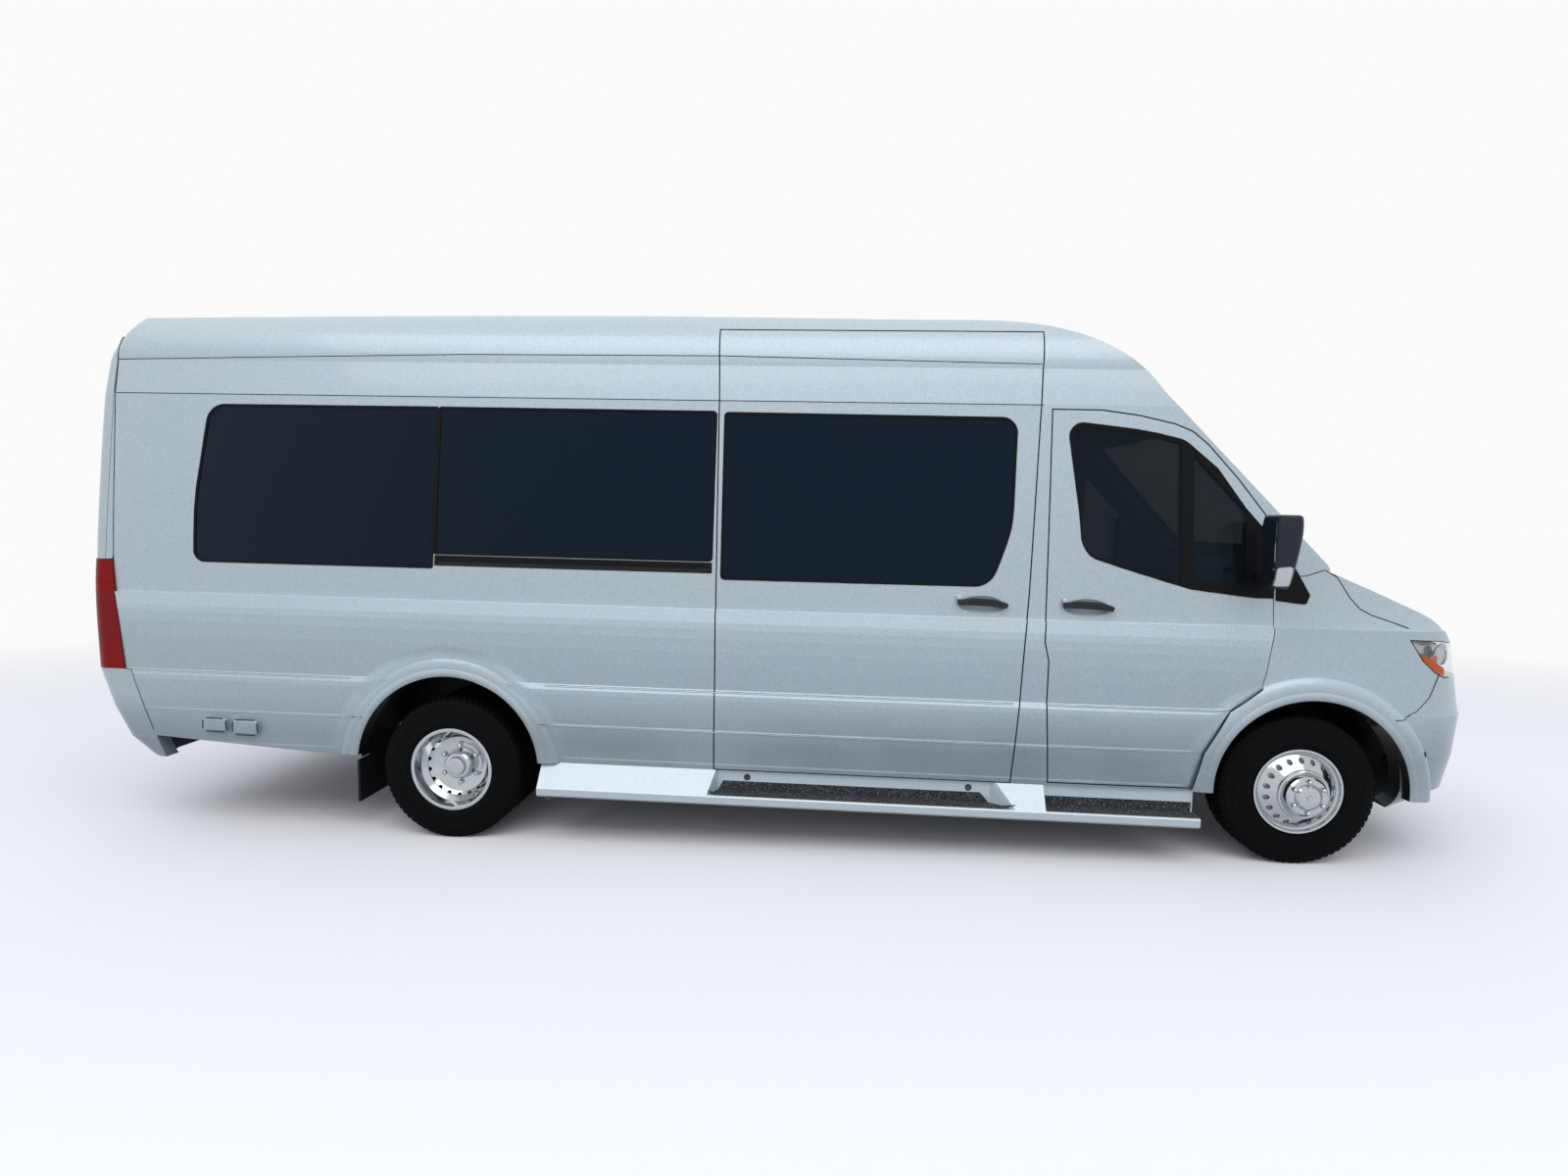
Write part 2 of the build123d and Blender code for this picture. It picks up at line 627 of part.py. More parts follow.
def front_wing():
    own = within(SKIN, side_slab(WING, RIGHT, INBOARD, grow=-SEAM / 2))
    own = less(own, disc(FRONT_ARCH, FRONT_ARCH_RADIUS, RIGHT, -480))
    door = side_slab(CAB_DOOR, RIGHT, INBOARD, grow=DOOR_GAP / 2)
    bumper = side_slab(FRONT_BUMPER, RIGHT, INBOARD, grow=SEAM / 2)
    lip = less(common(flare(FRONT_ARCH, FRONT_ARCH_RADIUS, 412), side_slab(WING, RIGHT, 0, grow=-SEAM / 2)), door, bumper)
    seam = [(x, z - LAP) for x, z in BONNET_SEAM] + [(x, z + LAP) for x, z in BONNET_SEAM[::-1]]
    backing = block(2636, 3130, RIGHT, INBOARD, 900, 1470)
    inner = within(FRAME, side_slab(WING, RIGHT, INBOARD, grow=-SEAM / 2), backing)
    flange = within(LINING, side_slab(seam, RIGHT, INBOARD), block(2850, 3130, RIGHT, INBOARD, 900, 1500))
    return joined(own, lip, inner, flange)


LAMP_INNER = 460.0        # where each headlamp meets the grille
GRILLE_SIDE = LAMP_INNER - SEAM
GRILLE = [(-GRILLE_SIDE, 1300), (-GRILLE_SIDE, BUMPER_TOP), (-430, 890), (430, 890), (GRILLE_SIDE, BUMPER_TOP), (GRILLE_SIDE, 1300)]
LOUVRES = (918, 962, 1006, 1050, 1094)
LOUVRE_GAP = 26.0


INTAKE = (616, 666, 716)      # lower edges of the cooling slots in the bumper
TOWING_EYE = (3520.0, -430.0, 545.0)      # mouth of the socket, in the level body
EYE_DEPTH = 80.0
EYE_RADIUS = 10.0


def front_bumper():
    shell = within(FRAME, side_slab(FRONT_BUMPER, grow=-SEAM / 2))
    arches = [disc(FRONT_ARCH, FRONT_ARCH_RADIUS, RIGHT, -480)]
    lip = common(
        flare(FRONT_ARCH, FRONT_ARCH_RADIUS, 412, FLARE_DEEP + 12), side_slab(FRONT_BUMPER, RIGHT, 0, grow=-SEAM / 2)
    )
    shell = less(joined(shell, lip, other_side(lip)), *arches, *other_side(arches), end_slab(GRILLE, 3000, 3900))
    slots = [within(SKIN, block(3300, 3900, -350, 350, z, z + 38)) for z in INTAKE]
    shell = less(shell, *slots)
    beam = [s for band in INSIDE for s in common([band], block(RAIL_FRONT, 3700, -560, 560, RAIL_BOTTOM, FLOOR_BOTTOM))]
    x, y, z = TOWING_EYE
    socket = rod((x - EYE_DEPTH, y, z), (x, y, z), EYE_RADIUS)
    mouth = rod((x, y, z), (x + 300, y, z), 32)
    return less(joined(shell, beam), socket, mouth)


def grille():
    front = side_slab([(3136, 800)] + [(x, z - DOOR_GAP) for x, z in LAMP_TOP_LINE] + [(3900, 800)])
    plate = within(FRAME, end_slab(GRILLE, 3200, 3900, grow=-SEAT), front)
    return less(plate, *[block(3200, 3900, -390, 390, z, z + LOUVRE_GAP) for z in LOUVRES])


def headlamp():
    lamp = within(SKIN, side_slab(HEADLAMP, RIGHT, -LAMP_INNER, grow=-SEAM / 2))
    return lamp


# The tail lamp's own smooth surface, a little proud of the creased corner that it fills
LAMP_LEVELS = [
    level(780, 1008, -3691, 3600, 106), level(1060, 998, -3700, 3600, 90), level(1238, 986, -3706, 3600, 80),
    level(1440, 963, -3708, 3560, 72),
]


def tail_lamp():
    face, back = [Solid.make_loft([plan_section(at, inset).outer_wire() for at in LAMP_LEVELS], False) for inset in (0, PANEL)]
    return less(common(common([face], side_slab(TAIL_LAMP, RIGHT, INBOARD, grow=-SEAM / 2)), lamp_corner()), back, *PANEL_BACK)


def rear_bumper():
    shell = within(FRAME, side_slab(REAR_BUMPER, grow=-SEAM / 2))
    step = REAR_DOOR_BOTTOM - DOOR_GAP
    low = common(shell, block(-3900, -3200, -FAR, FAR, 300, step))
    corner = lamp_corner(bottom=step - 1)
    high = common(shell, corner) + common(shell, other_side(corner))
    beam = [s for band in INSIDE for s in common(band, block(-3700, RAIL_REAR - SEAT, -560, 560, RAIL_BOTTOM, FLOOR_BOTTOM - SEAT))]
    return joined(low, high, beam)


# ---------------------------------------------------------------- floor, running boards and what hangs below
TOWBAR_BOLTS = (-3440.0, 541.0)
TOWBAR_CIRCLE = 84.0
BOLT_RADIUS = 6.5


SILL_BOTTOM = 420.0      # underside of the floor's side members


def underbody():
    floor = within(ROOM, block(-3540, 2190, -FAR, FAR, FLOOR_BOTTOM, FLOOR_TOP))
    toe = block(2190, 2600 - SEAT, -470, 470, FLOOR_BOTTOM, FLOOR_TOP)
    house = REAR_ARCH_RADIUS + LINER_ROOM + LINER + SEAT
    arch = disc(FRONT_ARCH, FRONT_ARCH_RADIUS + LINER_ROOM + LINER + SEAT, RIGHT, -480)
    holes = [disc(REAR_ARCH, house, RIGHT, -500), arch]
    floor = less(floor, *holes, *other_side(holes))
    rails = []
    for side in (1, -1):
        y0, y1 = sorted((side * (RAIL_Y - RAIL_WIDTH / 2), side * (RAIL_Y + RAIL_WIDTH / 2)))
        rails.append(block(RAIL_REAR, RAIL_FRONT - SEAT, y0, y1, RAIL_BOTTOM, FLOOR_BOTTOM))
    beams = [block(x, x + 60, -RAIL_Y, RAIL_Y, RAIL_BOTTOM + 40, FLOOR_BOTTOM) for x in (-3360, -2700, -900, 100, 1500)]
    sills = [block(-1150, 1900, y, y + 45, SILL_BOTTOM, FLOOR_BOTTOM) for y in (-895, 850)]
    bolts = []
    for turn in (45, 135, 225, 315):
        x = TOWBAR_BOLTS[0] + TOWBAR_CIRCLE / 2 * cos(radians(turn))
        z = TOWBAR_BOLTS[1] + TOWBAR_CIRCLE / 2 * sin(radians(turn))
        bolts.append(rod((x, -600, z), (x, 600, z), BOLT_RADIUS))
    return less(joined(floor, [toe], rails, beams, sills), *bolts)


BOARD_TOP = 294.0
BOARD_BOTTOM = 242.0
BOARD_IN = 930.0
BOARD_OUT = 1066.0
BOARD_RISER = 962.0       # face of the sill that rises behind the treads
BOARD_ENDS = (-1184.0, 2150.0)


def running_board():
    """The moulded side step under the right-hand doors: one sloped section with two treads let into it."""
    top = SILL_EDGE - SEAT
    section = [
        (-983, top), (-BOARD_OUT + 8, BOARD_TOP + 4), (-BOARD_OUT, BOARD_TOP - 6), (-BOARD_OUT + 2, BOARD_BOTTOM + 12),
        (-BOARD_OUT + 16, BOARD_BOTTOM), (-BOARD_IN, BOARD_BOTTOM), (-BOARD_IN, top),
    ]
    step = [end_slab(section, *BOARD_ENDS)]
    for front, back in (((-305, 1290), (-250, 1150)), ((1409, 2300), (1409, 2300))):
        corners = [
            (front[0], -BOARD_OUT - 20, BOARD_TOP), (front[1], -BOARD_OUT - 20, BOARD_TOP),
            (back[1], -BOARD_RISER, BOARD_TOP), (back[0], -BOARD_RISER, BOARD_TOP),
        ]
        step = less(step, extrude(make_face(Polyline(*corners, close=True)), amount=200, dir=(0, 0, 1)).solid())
    hangers = []
    for x in (-1000, 200, 1280):
        hangers.append(block(x, x + 40, -BOARD_IN - 5, -865, top - 30, top - 1))
        hangers.append(block(x, x + 40, -893, -865, top - 5, SILL_BOTTOM - SEAT))
    return joined(step, hangers)


def arch_liners():
    """The right-hand wheelhouses and the flap behind the rear wheels."""
    front_r = FRONT_ARCH_RADIUS + LINER_ROOM
    rear_r = REAR_ARCH_RADIUS + LINER_ROOM
    front = within(ROOM, ring(FRONT_ARCH, front_r + LINER - SEAT, front_r, RIGHT, -510))
    front = less(front, block(1500, 3500, RIGHT, 0, -400, 440), bowed_block(3600, 3142, 0, 1300))
    rear = ring(REAR_ARCH, rear_r + LINER - SEAT, rear_r, RIGHT, -514)
    rear_wall = disc(REAR_ARCH, rear_r + LINER - SEAT, -524, -514)
    rear = less(within(ROOM, joined([rear], [rear_wall])), block(-2600, -800, RIGHT, 0, -400, 470))
    flap = end_slab([(-600, 143), (-990, 143), (-990, 372), (-890, 372), (-890, 485), (-600, 485)], -2194, -2182)
    return joined(front) + joined(rear, [flap])


def engine():
    return [block(2640, 3280, -260, 260, RAIL_BOTTOM + SEAT, 1180)]


def in_body(x, z):
    """Where a point over the ground lies in the level body, as (x, z)."""
    lean = radians(BODY_RAKE)
    return x * cos(lean) - z * sin(lean), x * sin(lean) + z * cos(lean)


def rear_axle():
    """Axle tube with its final drive, the propeller shaft and a leaf spring on each side."""
    x, z = in_body(REAR_AXLE_X, AXLE_HEIGHT)
    tube = rod((x, -640, z), (x, 640, z), 60)
    ball = Solid.make_sphere(150, Plane(origin=(x, 0, z)))
    hubs = [rod((x, side * 600, z), (x, side * 860, z), 39.7) for side in (-1, 1)]
    springs = []
    for y in (-RAIL_Y, RAIL_Y):
        top = [(x - 720, RAIL_BOTTOM - SEAT), (x, z + 88), (x + 720, RAIL_BOTTOM - SEAT)]
        leaf = top + [(x + 720, RAIL_BOTTOM - 24), (x, z + 54), (x - 720, RAIL_BOTTOM - 24)]
        springs.append(side_slab(leaf, y - 35, y + 35))
    shaft = rod((x + 100, 0, z), (2300, 0, 470), 38)
    return joined([tube, ball, shaft], hubs, springs)


KINGPIN = 14.0
EYE_BOTTOM, EYE_TOP = 250.0, 280.0


def front_subframe():
    """Cross beam under the engine in the body's frame, with a lower arm to each upright over the ground."""
    x, z = in_body(FRONT_AXLE_X, AXLE_HEIGHT)
    beam = raked(block(x - 160, x + 160, -RAIL_Y - 38, RAIL_Y + 38, z - 60, RAIL_BOTTOM - SEAT))
    arms = []
    for side in (1, -1):
        arm = rod((FRONT_AXLE_X, side * 400, 335), (FRONT_AXLE_X, side * (KINGPIN_Y - 25), 262), 13)
        eye = rod((FRONT_AXLE_X, side * KINGPIN_Y, EYE_BOTTOM), (FRONT_AXLE_X, side * KINGPIN_Y, EYE_TOP), 34)
        bore = rod((FRONT_AXLE_X, side * KINGPIN_Y, 200), (FRONT_AXLE_X, side * KINGPIN_Y, 300), KINGPIN + SEAT)
        arms += less(joined([arm], [eye]), bore)
    return joined(beam, arms)


def fuel_tank():
    tank = block(200, 1300, 70, 420, 350, FLOOR_BOTTOM - SEAT)
    return [fillet(tank.edges().filter_by(Axis.X), 50).solid()]


def exhaust():
    points = [(2250, -150, 420), (1600, -240, 420), (-500, -240, 420), (-950, -420, 318), (-1190, -905, 196)]
    path = FilletPolyline(*points, radius=[200, 200, 120])
    pipe = sweep(Plane(origin=points[0], z_dir=path % 0) * Circle(32), path=path)
    box = block(-350, 450, -380, -110, 345, 515)
    straps = [block(x, x + 30, -300, -200, 500, FLOOR_BOTTOM - SEAT) for x in (-250, 350)]
    return joined(pipe, [box], straps)


# ---------------------------------------------------------------- cab and cabin
def dashboard():
    foot = FRONT_ARCH[1] + FRONT_ARCH_RADIUS + LINER_ROOM + LINER + 6
    profile = [
        (2600 - SEAT, foot), (2600 - SEAT, 1440), (2420, 1420), (2300, 1330), (2250, 1230), (2300, 1100), (2420, 980),
        (2450, foot),
    ]
    lean = radians(COLUMN_TILT)
    x, y, z = WHEEL_CENTRE
    ends = [(x + t * sin(lean), y, z - t * cos(lean)) for t in (42 + SEAT, 280)]
    return joined([side_slab(profile, -800, 800)], [rod(*ends, 38)])


WHEEL_CENTRE = (2160.0, 430.0, 1290.0)
COLUMN_TILT = 38.0


def column_plane():
    lean = radians(COLUMN_TILT)
    return Plane(origin=WHEEL_CENTRE, x_dir=(0, 1, 0), z_dir=(-sin(lean), 0, cos(lean)))


def steering_wheel():
    at = column_plane()
    rim = at.location * Torus(200, 16)
    hub = at.location * (Pos(0, 0, -20) * Cylinder(60, 44))
    spokes = [at.location * (Rot(0, 0, a) * (Pos(100, 0, -10) * Box(190, 34, 18))) for a in (0, 90, 180)]
    return joined(solids_of(rim), solids_of(hub), *[solids_of(s) for s in spokes])


def seat(x, y, width, z=FLOOR_TOP + SEAT, cushion=330.0, back=660.0):
    profile = [
        (x, z), (x + 440, z), (x + 470, z + cushion), (x + 470, z + cushion + 110), (x + 60, z + cushion + 70),
        (x - 40, z + cushion + 70 + back), (x - 160, z + cushion + 70 + back), (x - 40, z + cushion),
    ]
    return side_slab(profile, y - width / 2, y + width / 2)


def seats():
    """Two cab seats and the benches behind them, on one level floor."""
    cab = [seat(1640, 430, 520), seat(1640, -430, 520)]
    left = [seat(x, 430, 820) for x in (-2900, -900, 0)]
    right = [seat(x, -620, 430) for x in (-2900, -900)]
    return cab + left + right


def on_screen(y, z, out):
    """The point at (y, z) that stands out from the windscreen's surface by out."""
    (x0, z0), (dx, _) = SCREEN_FOOT
    (x1, z1), _ = ROOF_LINE[-1]
    x = x0 + dx * (1 - (y / BOW_Y) ** 2) - (z - z0) * (x0 - x1) / (z1 - z0)
    return (x + out / sqrt(2), y, z + out / sqrt(2))


def wipers():
    """Two wipers, each a blade along the foot of the windscreen and an arm to its pivot on the scuttle."""
    made, seated = [], Location((SEAT, 0, SEAT))
    for y in (-620, 40):
        blade = ThreePointArc(on_screen(y, 1600, 9), on_screen(y + 270, 1612, 9), on_screen(y + 540, 1625, 9))
        blade = sweep(Plane(origin=blade @ 0, z_dir=blade % 0) * Circle(6), path=blade)
        pivot = rod(on_screen(y - 20, 1562, -12), on_screen(y - 20, 1562, 16), 13) - OUTSIDE[GLASS_BAND].moved(seated)
        arm = rod(on_screen(y - 20, 1562, 10), on_screen(y + 230, 1611, 10), 5)
        made += joined(blade, [pivot, arm])
    return made


# ---------------------------------------------------------------- wheels, hubs and uprights
def turned(profile, x, y, side):
    """A solid of revolution about the wheel's axis; the profile is (distance outboard, radius)."""
    points = [(x, y + side * out, AXLE_HEIGHT + r) for out, r in profile]
    face = make_face(Polyline(*points, close=True))
    return revolve(face, Axis((x, 0, AXLE_HEIGHT), (0, 1, 0)), 360).solid()


def tyre(x, y, side):
    half, r = TYRE_WIDTH / 2, TYRE_RADIUS
    profile = [
        (-84, RIM_RADIUS + 5.3), (-half, RIM_RADIUS + 60), (-half, r - 80), (-half + 12, r - 30), (-86, r - 6), (-50, r),
        (50, r), (86, r - 6), (half - 12, r - 30), (half, r - 80), (half, RIM_RADIUS + 60), (84, RIM_RADIUS + 5.3),
    ]
    return turned(profile, x, y, side)


RIM_PROFILE = [
    (-96, RIM_RADIUS + 18), (-90, RIM_RADIUS + 18), (-88, RIM_RADIUS + 5), (-60, RIM_RADIUS + 4), (-40, RIM_RADIUS - 24),
    (20, RIM_RADIUS - 24), (50, RIM_RADIUS + 4), (88, RIM_RADIUS + 5), (90, RIM_RADIUS + 18), (96, RIM_RADIUS + 18),
    (96, RIM_RADIUS + 2), (60, RIM_RADIUS - 6), (24, RIM_RADIUS - 36),
]


COVER_HOLES = 18
STUDS = 6


def pierced(cover, x, y, side, radius, hole, ends):
    """A wheel cover with its ring of round holes."""
    left = cover
    for i in range(COVER_HOLES):
        turn = radians(360 / COVER_HOLES * (i + 0.5))
        at = (x + radius * cos(turn), AXLE_HEIGHT + radius * sin(turn))
        left = less(left, rod((at[0], y + side * ends[0], at[1]), (at[0], y + side * ends[1], at[1]), hole))
    return left


def studs(x, y, side, radius, size, ends):
    """A ring of wheel studs."""
    made = []
    for i in range(STUDS):
        turn = radians(360 / STUDS * i + 30)
        at = (x + radius * cos(turn), AXLE_HEIGHT + radius * sin(turn))
        made.append(rod((at[0], y + side * ends[0], at[1]), (at[0], y + side * ends[1], at[1]), size))
    return made


RIM_BACK = [(-44, RIM_RADIUS - 36), (-64, RIM_RADIUS - 6), (-96, RIM_RADIUS + 2)]


def front_rim(side):
    """Rim and disc with the bright cover: a flange ring, a pierced cone and a raised, stepped hub."""
    x, y = FRONT_AXLE_X, side * FRONT_TRACK / 2
    barrel = turned(RIM_PROFILE + RIM_BACK, x, y, side)
    profile = [
        (30, 0), (30, 60), (60, 130), (60, RIM_RADIUS - 4), (96, RIM_RADIUS + 2), (100, RIM_RADIUS + 12),
        (104, RIM_RADIUS + 10), (103, RIM_RADIUS + 1), (92, RIM_RADIUS - 7), (88, RIM_RADIUS - 14),
        (94, RIM_RADIUS - 21), (140, 124), (150, 121), (154, 114), (150, 106), (176, 98), (186, 90), (187, 66),
        (182, 62), (196, 52), (200, 30), (200, 15), (206, 12), (206, 0),
    ]
    cover = pierced([turned(profile, x, y, side)], x, y, side, 160, 13, (72, 160))
    return joined([barrel], cover, studs(x, y, side, 78, 8, (170, 197)))


def rear_rims(side):
    """Twin rims back to back on one hub, with the dished, pierced cover of the outer one."""
    half = TWIN_SPACING / 2
    x, mid = REAR_AXLE_X, side * REAR_TWIN_CENTRE
    barrels = [turned([(s * out, r) for out, r in RIM_PROFILE + RIM_BACK], x, mid + side * s * half, side) for s in (-1, 1)]
    dish = [(0, 40), (0, 120), (79, RIM_RADIUS - 30), (91, RIM_RADIUS - 30), (12, 118), (12, 40)]
    discs = [turned([(s * out, r) for out, r in dish], x, mid, side) for s in (-1, 1)]
    hub = turned([(10, 40), (10, 75), (92, 75), (92, 40)], x, mid, side)
    face = half + 96
    profile = [
        (88, 0), (88, 80), (106, 118), (118, 150), (150, 188), (190, RIM_RADIUS + 1), (face, RIM_RADIUS + 1),
        (face, RIM_RADIUS + 19), (face + 4, RIM_RADIUS + 18), (face + 6, RIM_RADIUS + 9), (face + 3, RIM_RADIUS),
        (160, 186), (126, 150), (116, 118), (112, 84), (150, 74), (158, 66), (160, 52), (176, 46), (181, 30), (181, 0),
    ]
    cover = pierced([turned(profile, x, mid, side)], x, mid, side, 168, 12, (100, 200))
    return joined(barrels, discs, [hub], cover, studs(x, mid, side, 101, 9, (104, 127)))


def knuckle(side):
    """A steered upright: kingpin, post and the hub that carries the wheel."""
    y = side * FRONT_TRACK / 2
    hub = rod((FRONT_AXLE_X, y + side * (30 - SEAT), AXLE_HEIGHT), (FRONT_AXLE_X, side * 770, AXLE_HEIGHT), 58)
    post = rod((FRONT_AXLE_X, side * KINGPIN_Y, EYE_TOP + SEAT), (FRONT_AXLE_X, side * KINGPIN_Y, 540), 30)
    pin = rod((FRONT_AXLE_X, side * KINGPIN_Y, EYE_BOTTOM - 8), (FRONT_AXLE_X, side * KINGPIN_Y, 320), KINGPIN)
    return joined([hub, post, pin])


# ---------------------------------------------------------------- mirrors
# A mirror's level sections: height, back and front, outer and inner side
MIRROR = [
    (1438, 2384, 2446, -1130, -1022), (1500, 2370, 2456, -1150, -1010), (1620, 2360, 2470, -1166, -1004),
    (1720, 2358, 2476, -1172, -1002), (1784, 2364, 2472, -1166, -1008),
]


def mirror_head():
    """The tall right-hand mirror, narrower toward its foot, on the arm that carries it."""
    wires = []
    for z, x0, x1, y0, y1 in MIRROR:
        face = Pos((x0 + x1) / 2, (y0 + y1) / 2, z) * RectangleRounded(x1 - x0, y1 - y0, 28)
        wires.append(face.face().outer_wire())
    head = Solid.make_loft(wires, False)
    head = fillet(head.faces().sort_by(Axis.Z)[-1].edges(), 18).solid()
    arm = side_slab([(2398, 1452, 12), (2398, 1512, 12), (2446, 1506, 12), (2446, 1456, 12)], -1040, -860)
    return less(joined([head, arm]), OUTSIDE[GLASS_BAND].moved(Location((0, -SEAT, 0))))


def raked(shapes):
    """Tips body pieces nose-down about the line across the van through the origin."""
    return [s.rotate(Axis.Y, BODY_RAKE) for s in solids_of(shapes)]


def save(name, shapes):
    found = solids_of(shapes)
    piece = found[0] if len(found) == 1 else Compound(children=found)
    export_step(piece, f"parts/{name}.step")


def body_nodes():
    wing, lamp, tail = front_wing(), headlamp(), tail_lamp()
    door, glass = cab_door(), pane(DOOR_WINDOW) + pane(QUARTER_WINDOW)
    back, back_glass = rear_door(), rear_pane()
    liner, board, mirror = arch_liners(), running_board(), mirror_head()
    panes = [p for w in REAR_WINDOWS + [SLIDING_WINDOW] for p in pane(w)]
    panes += [p for w in LEFT_WINDOWS for p in pane(w, side=1)]
    return {
        "underbody": underbody(),
        "roof": roof(),
        "right_side_panel": right_side_panel(),
        "left_side_panel": left_side_panel(),
        "cab_frame": cab_frame(),
        "front_wings": wing + other_side(wing),
        "front_bumper": front_bumper(),
        "grille": grille(),
        "rear_bumper": rear_bumper(),
        "fixed_windows": windscreen() + panes,
        "sliding_door": sliding_door(),
        "headlamps": lamp + other_side(lamp),
        "tail_lamps": tail + other_side(tail),
        "running_boards": board + other_side(board),
        "arch_liners": liner + other_side(liner),
        "dashboard": dashboard(),
        "seats": seats(),
        "engine": engine(),
        "fuel_tank": fuel_tank(),
        "exhaust": exhaust(),
        "wipers": wipers(),
        "steering_wheel": steering_wheel(),
        "right_cab_door": door,
        "left_cab_door": other_side(door),
        "right_cab_glass": glass,
        "left_cab_glass": other_side(glass),
        "right_mirror": mirror,
        "left_mirror": other_side(mirror),
        "right_rear_door": right_rear_door(),
        "left_rear_door": other_side(back),
        "right_rear_glass": back_glass,
        "left_rear_glass": other_side(back_glass),
        "bonnet": bonnet(),
    }


def wheel_nodes():
    nodes = {"rear_axle": raked(rear_axle()), "front_subframe": front_subframe()}
    for name, side in (("left", 1), ("right", -1)):
        y = side * FRONT_TRACK / 2
        twins = [side * (REAR_TWIN_CENTRE + s * TWIN_SPACING / 2) for s in (-1, 1)]
        nodes[f"{name}_knuckle"] = knuckle(side)
        nodes[f"front_{name}_tyre"] = [tyre(FRONT_AXLE_X, y, side)]
        nodes[f"front_{name}_rim"] = front_rim(side)
        nodes[f"rear_{name}_tyres"] = [tyre(REAR_AXLE_X, t, side) for t in twins]
        nodes[f"rear_{name}_rims"] = rear_rims(side)
    return nodes


os.makedirs("parts", exist_ok=True)
for name, shapes in body_nodes().items():
    save(name, raked(shapes))
for name, shapes in wheel_nodes().items():
    save(name, shapes)
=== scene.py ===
# %% [markdown]
# # A full-size silver van with twin rear wheels
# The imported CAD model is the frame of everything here: a van body that leans slightly nose-down on its wheels,
# with doors, glass, lamps, wheels and what hangs below. This file gives each of those its finish, and adds the
# detail that CAD leaves out: tread, gaskets, seams, lamp insides, nuts, grit mats and padded seats.

# %% Load the model
import json
import math

import bmesh
import bpy
from mathutils import Matrix, Vector
from mathutils.bvhtree import BVHTree
from mathutils.geometry import delaunay_2d_cdt


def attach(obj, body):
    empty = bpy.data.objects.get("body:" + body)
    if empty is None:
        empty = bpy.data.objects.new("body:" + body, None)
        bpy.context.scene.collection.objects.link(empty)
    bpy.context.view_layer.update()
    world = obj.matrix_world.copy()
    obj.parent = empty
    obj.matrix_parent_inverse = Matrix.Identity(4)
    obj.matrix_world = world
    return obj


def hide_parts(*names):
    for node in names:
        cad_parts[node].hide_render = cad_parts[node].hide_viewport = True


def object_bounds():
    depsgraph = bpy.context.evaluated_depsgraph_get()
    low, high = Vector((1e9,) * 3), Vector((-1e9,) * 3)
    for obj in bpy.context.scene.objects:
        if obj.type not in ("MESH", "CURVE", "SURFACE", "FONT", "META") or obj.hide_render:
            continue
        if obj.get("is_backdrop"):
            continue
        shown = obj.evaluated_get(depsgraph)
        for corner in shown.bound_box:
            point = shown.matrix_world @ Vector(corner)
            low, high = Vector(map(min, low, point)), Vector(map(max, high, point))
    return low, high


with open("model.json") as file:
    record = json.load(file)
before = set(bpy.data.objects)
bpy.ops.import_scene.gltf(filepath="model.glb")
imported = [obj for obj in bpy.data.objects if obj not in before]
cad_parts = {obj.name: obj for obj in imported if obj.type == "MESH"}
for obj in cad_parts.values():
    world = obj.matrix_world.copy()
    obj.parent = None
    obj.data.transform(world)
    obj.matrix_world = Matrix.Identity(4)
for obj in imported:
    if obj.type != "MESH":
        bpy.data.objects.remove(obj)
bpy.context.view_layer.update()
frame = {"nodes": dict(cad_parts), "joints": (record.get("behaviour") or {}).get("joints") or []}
nodes = frame["nodes"]

# %% [markdown]
# ## Working in the van's own level
# The body was drawn level and then tipped nose-down, so its seams and windows are easiest to give in that level
# body, in millimetres: x ahead, y to the left, z up. The tail door's hinge line leans with the body, so its axis
# tells how far.

# %% Level body to world
hinge = next(j for j in frame["joints"] if j["name"] == "right_rear_door_hinge")
LEAN = math.atan2(hinge["axis"][0], hinge["axis"][2])
BODY = Matrix.Rotation(LEAN, 4, "Y") @ Matrix.Scale(0.001, 4)
RIGHT, LEFT = -1, 1
SIDES = {"right": RIGHT, "left": LEFT}


def place(x, y, z):
    """A point of the level body, in millimetres, as a world point in metres."""
    return BODY @ Vector((x, y, z))


def heading(x, y, z):
    """A direction or step in the level body, in millimetres, as a world vector in metres."""
    return BODY.to_3x3() @ Vector((x, y, z))


print("the body leans", round(math.degrees(LEAN), 3), "degrees")

# %% [markdown]
# ## Camera
# The van is seen from its right, from head height and close by, through a wide lens that looks a little to the
# tail and a little down. The camera is set from its place, its three angles and its focal length.


# %% Camera
def new_object(name, data):
    """A new object with this data, in the scene."""
    made = bpy.data.objects.new(name, data)
    bpy.context.scene.collection.objects.link(made)
    return made


EYE = Vector((0.379, -4.938, 1.693))
YAW, PITCH, ROLL = math.radians(-4.053), math.radians(-4.780), math.radians(0.301)
LENS, SENSOR = 18.04, 36.0

ahead = Vector((math.sin(YAW) * math.cos(PITCH), math.cos(YAW) * math.cos(PITCH), math.sin(PITCH)))
across = Vector((math.cos(YAW), -math.sin(YAW), 0))
above = across.cross(ahead)
turn = Matrix.Rotation(ROLL, 3, -ahead)
across, above = turn @ across, turn @ above

camera = new_object("camera", bpy.data.cameras.new("camera"))
camera.data.lens, camera.data.sensor_width = LENS, SENSOR
camera.data.clip_end = 200
camera.matrix_world = Matrix.Translation(EYE) @ Matrix((across, above, -ahead)).transposed().to_4x4()
bpy.context.scene.camera = camera
bpy.context.scene.view_settings.view_transform = "Standard"

# %% [markdown]
# ## Colours and nodes
# Colours are written as sRGB hex, as a paint chart or a picture editor gives them, and turned to the linear
# values that the renderer works in. One small function adds a node, sets its values and links it, for materials
# and Geometry Nodes alike.


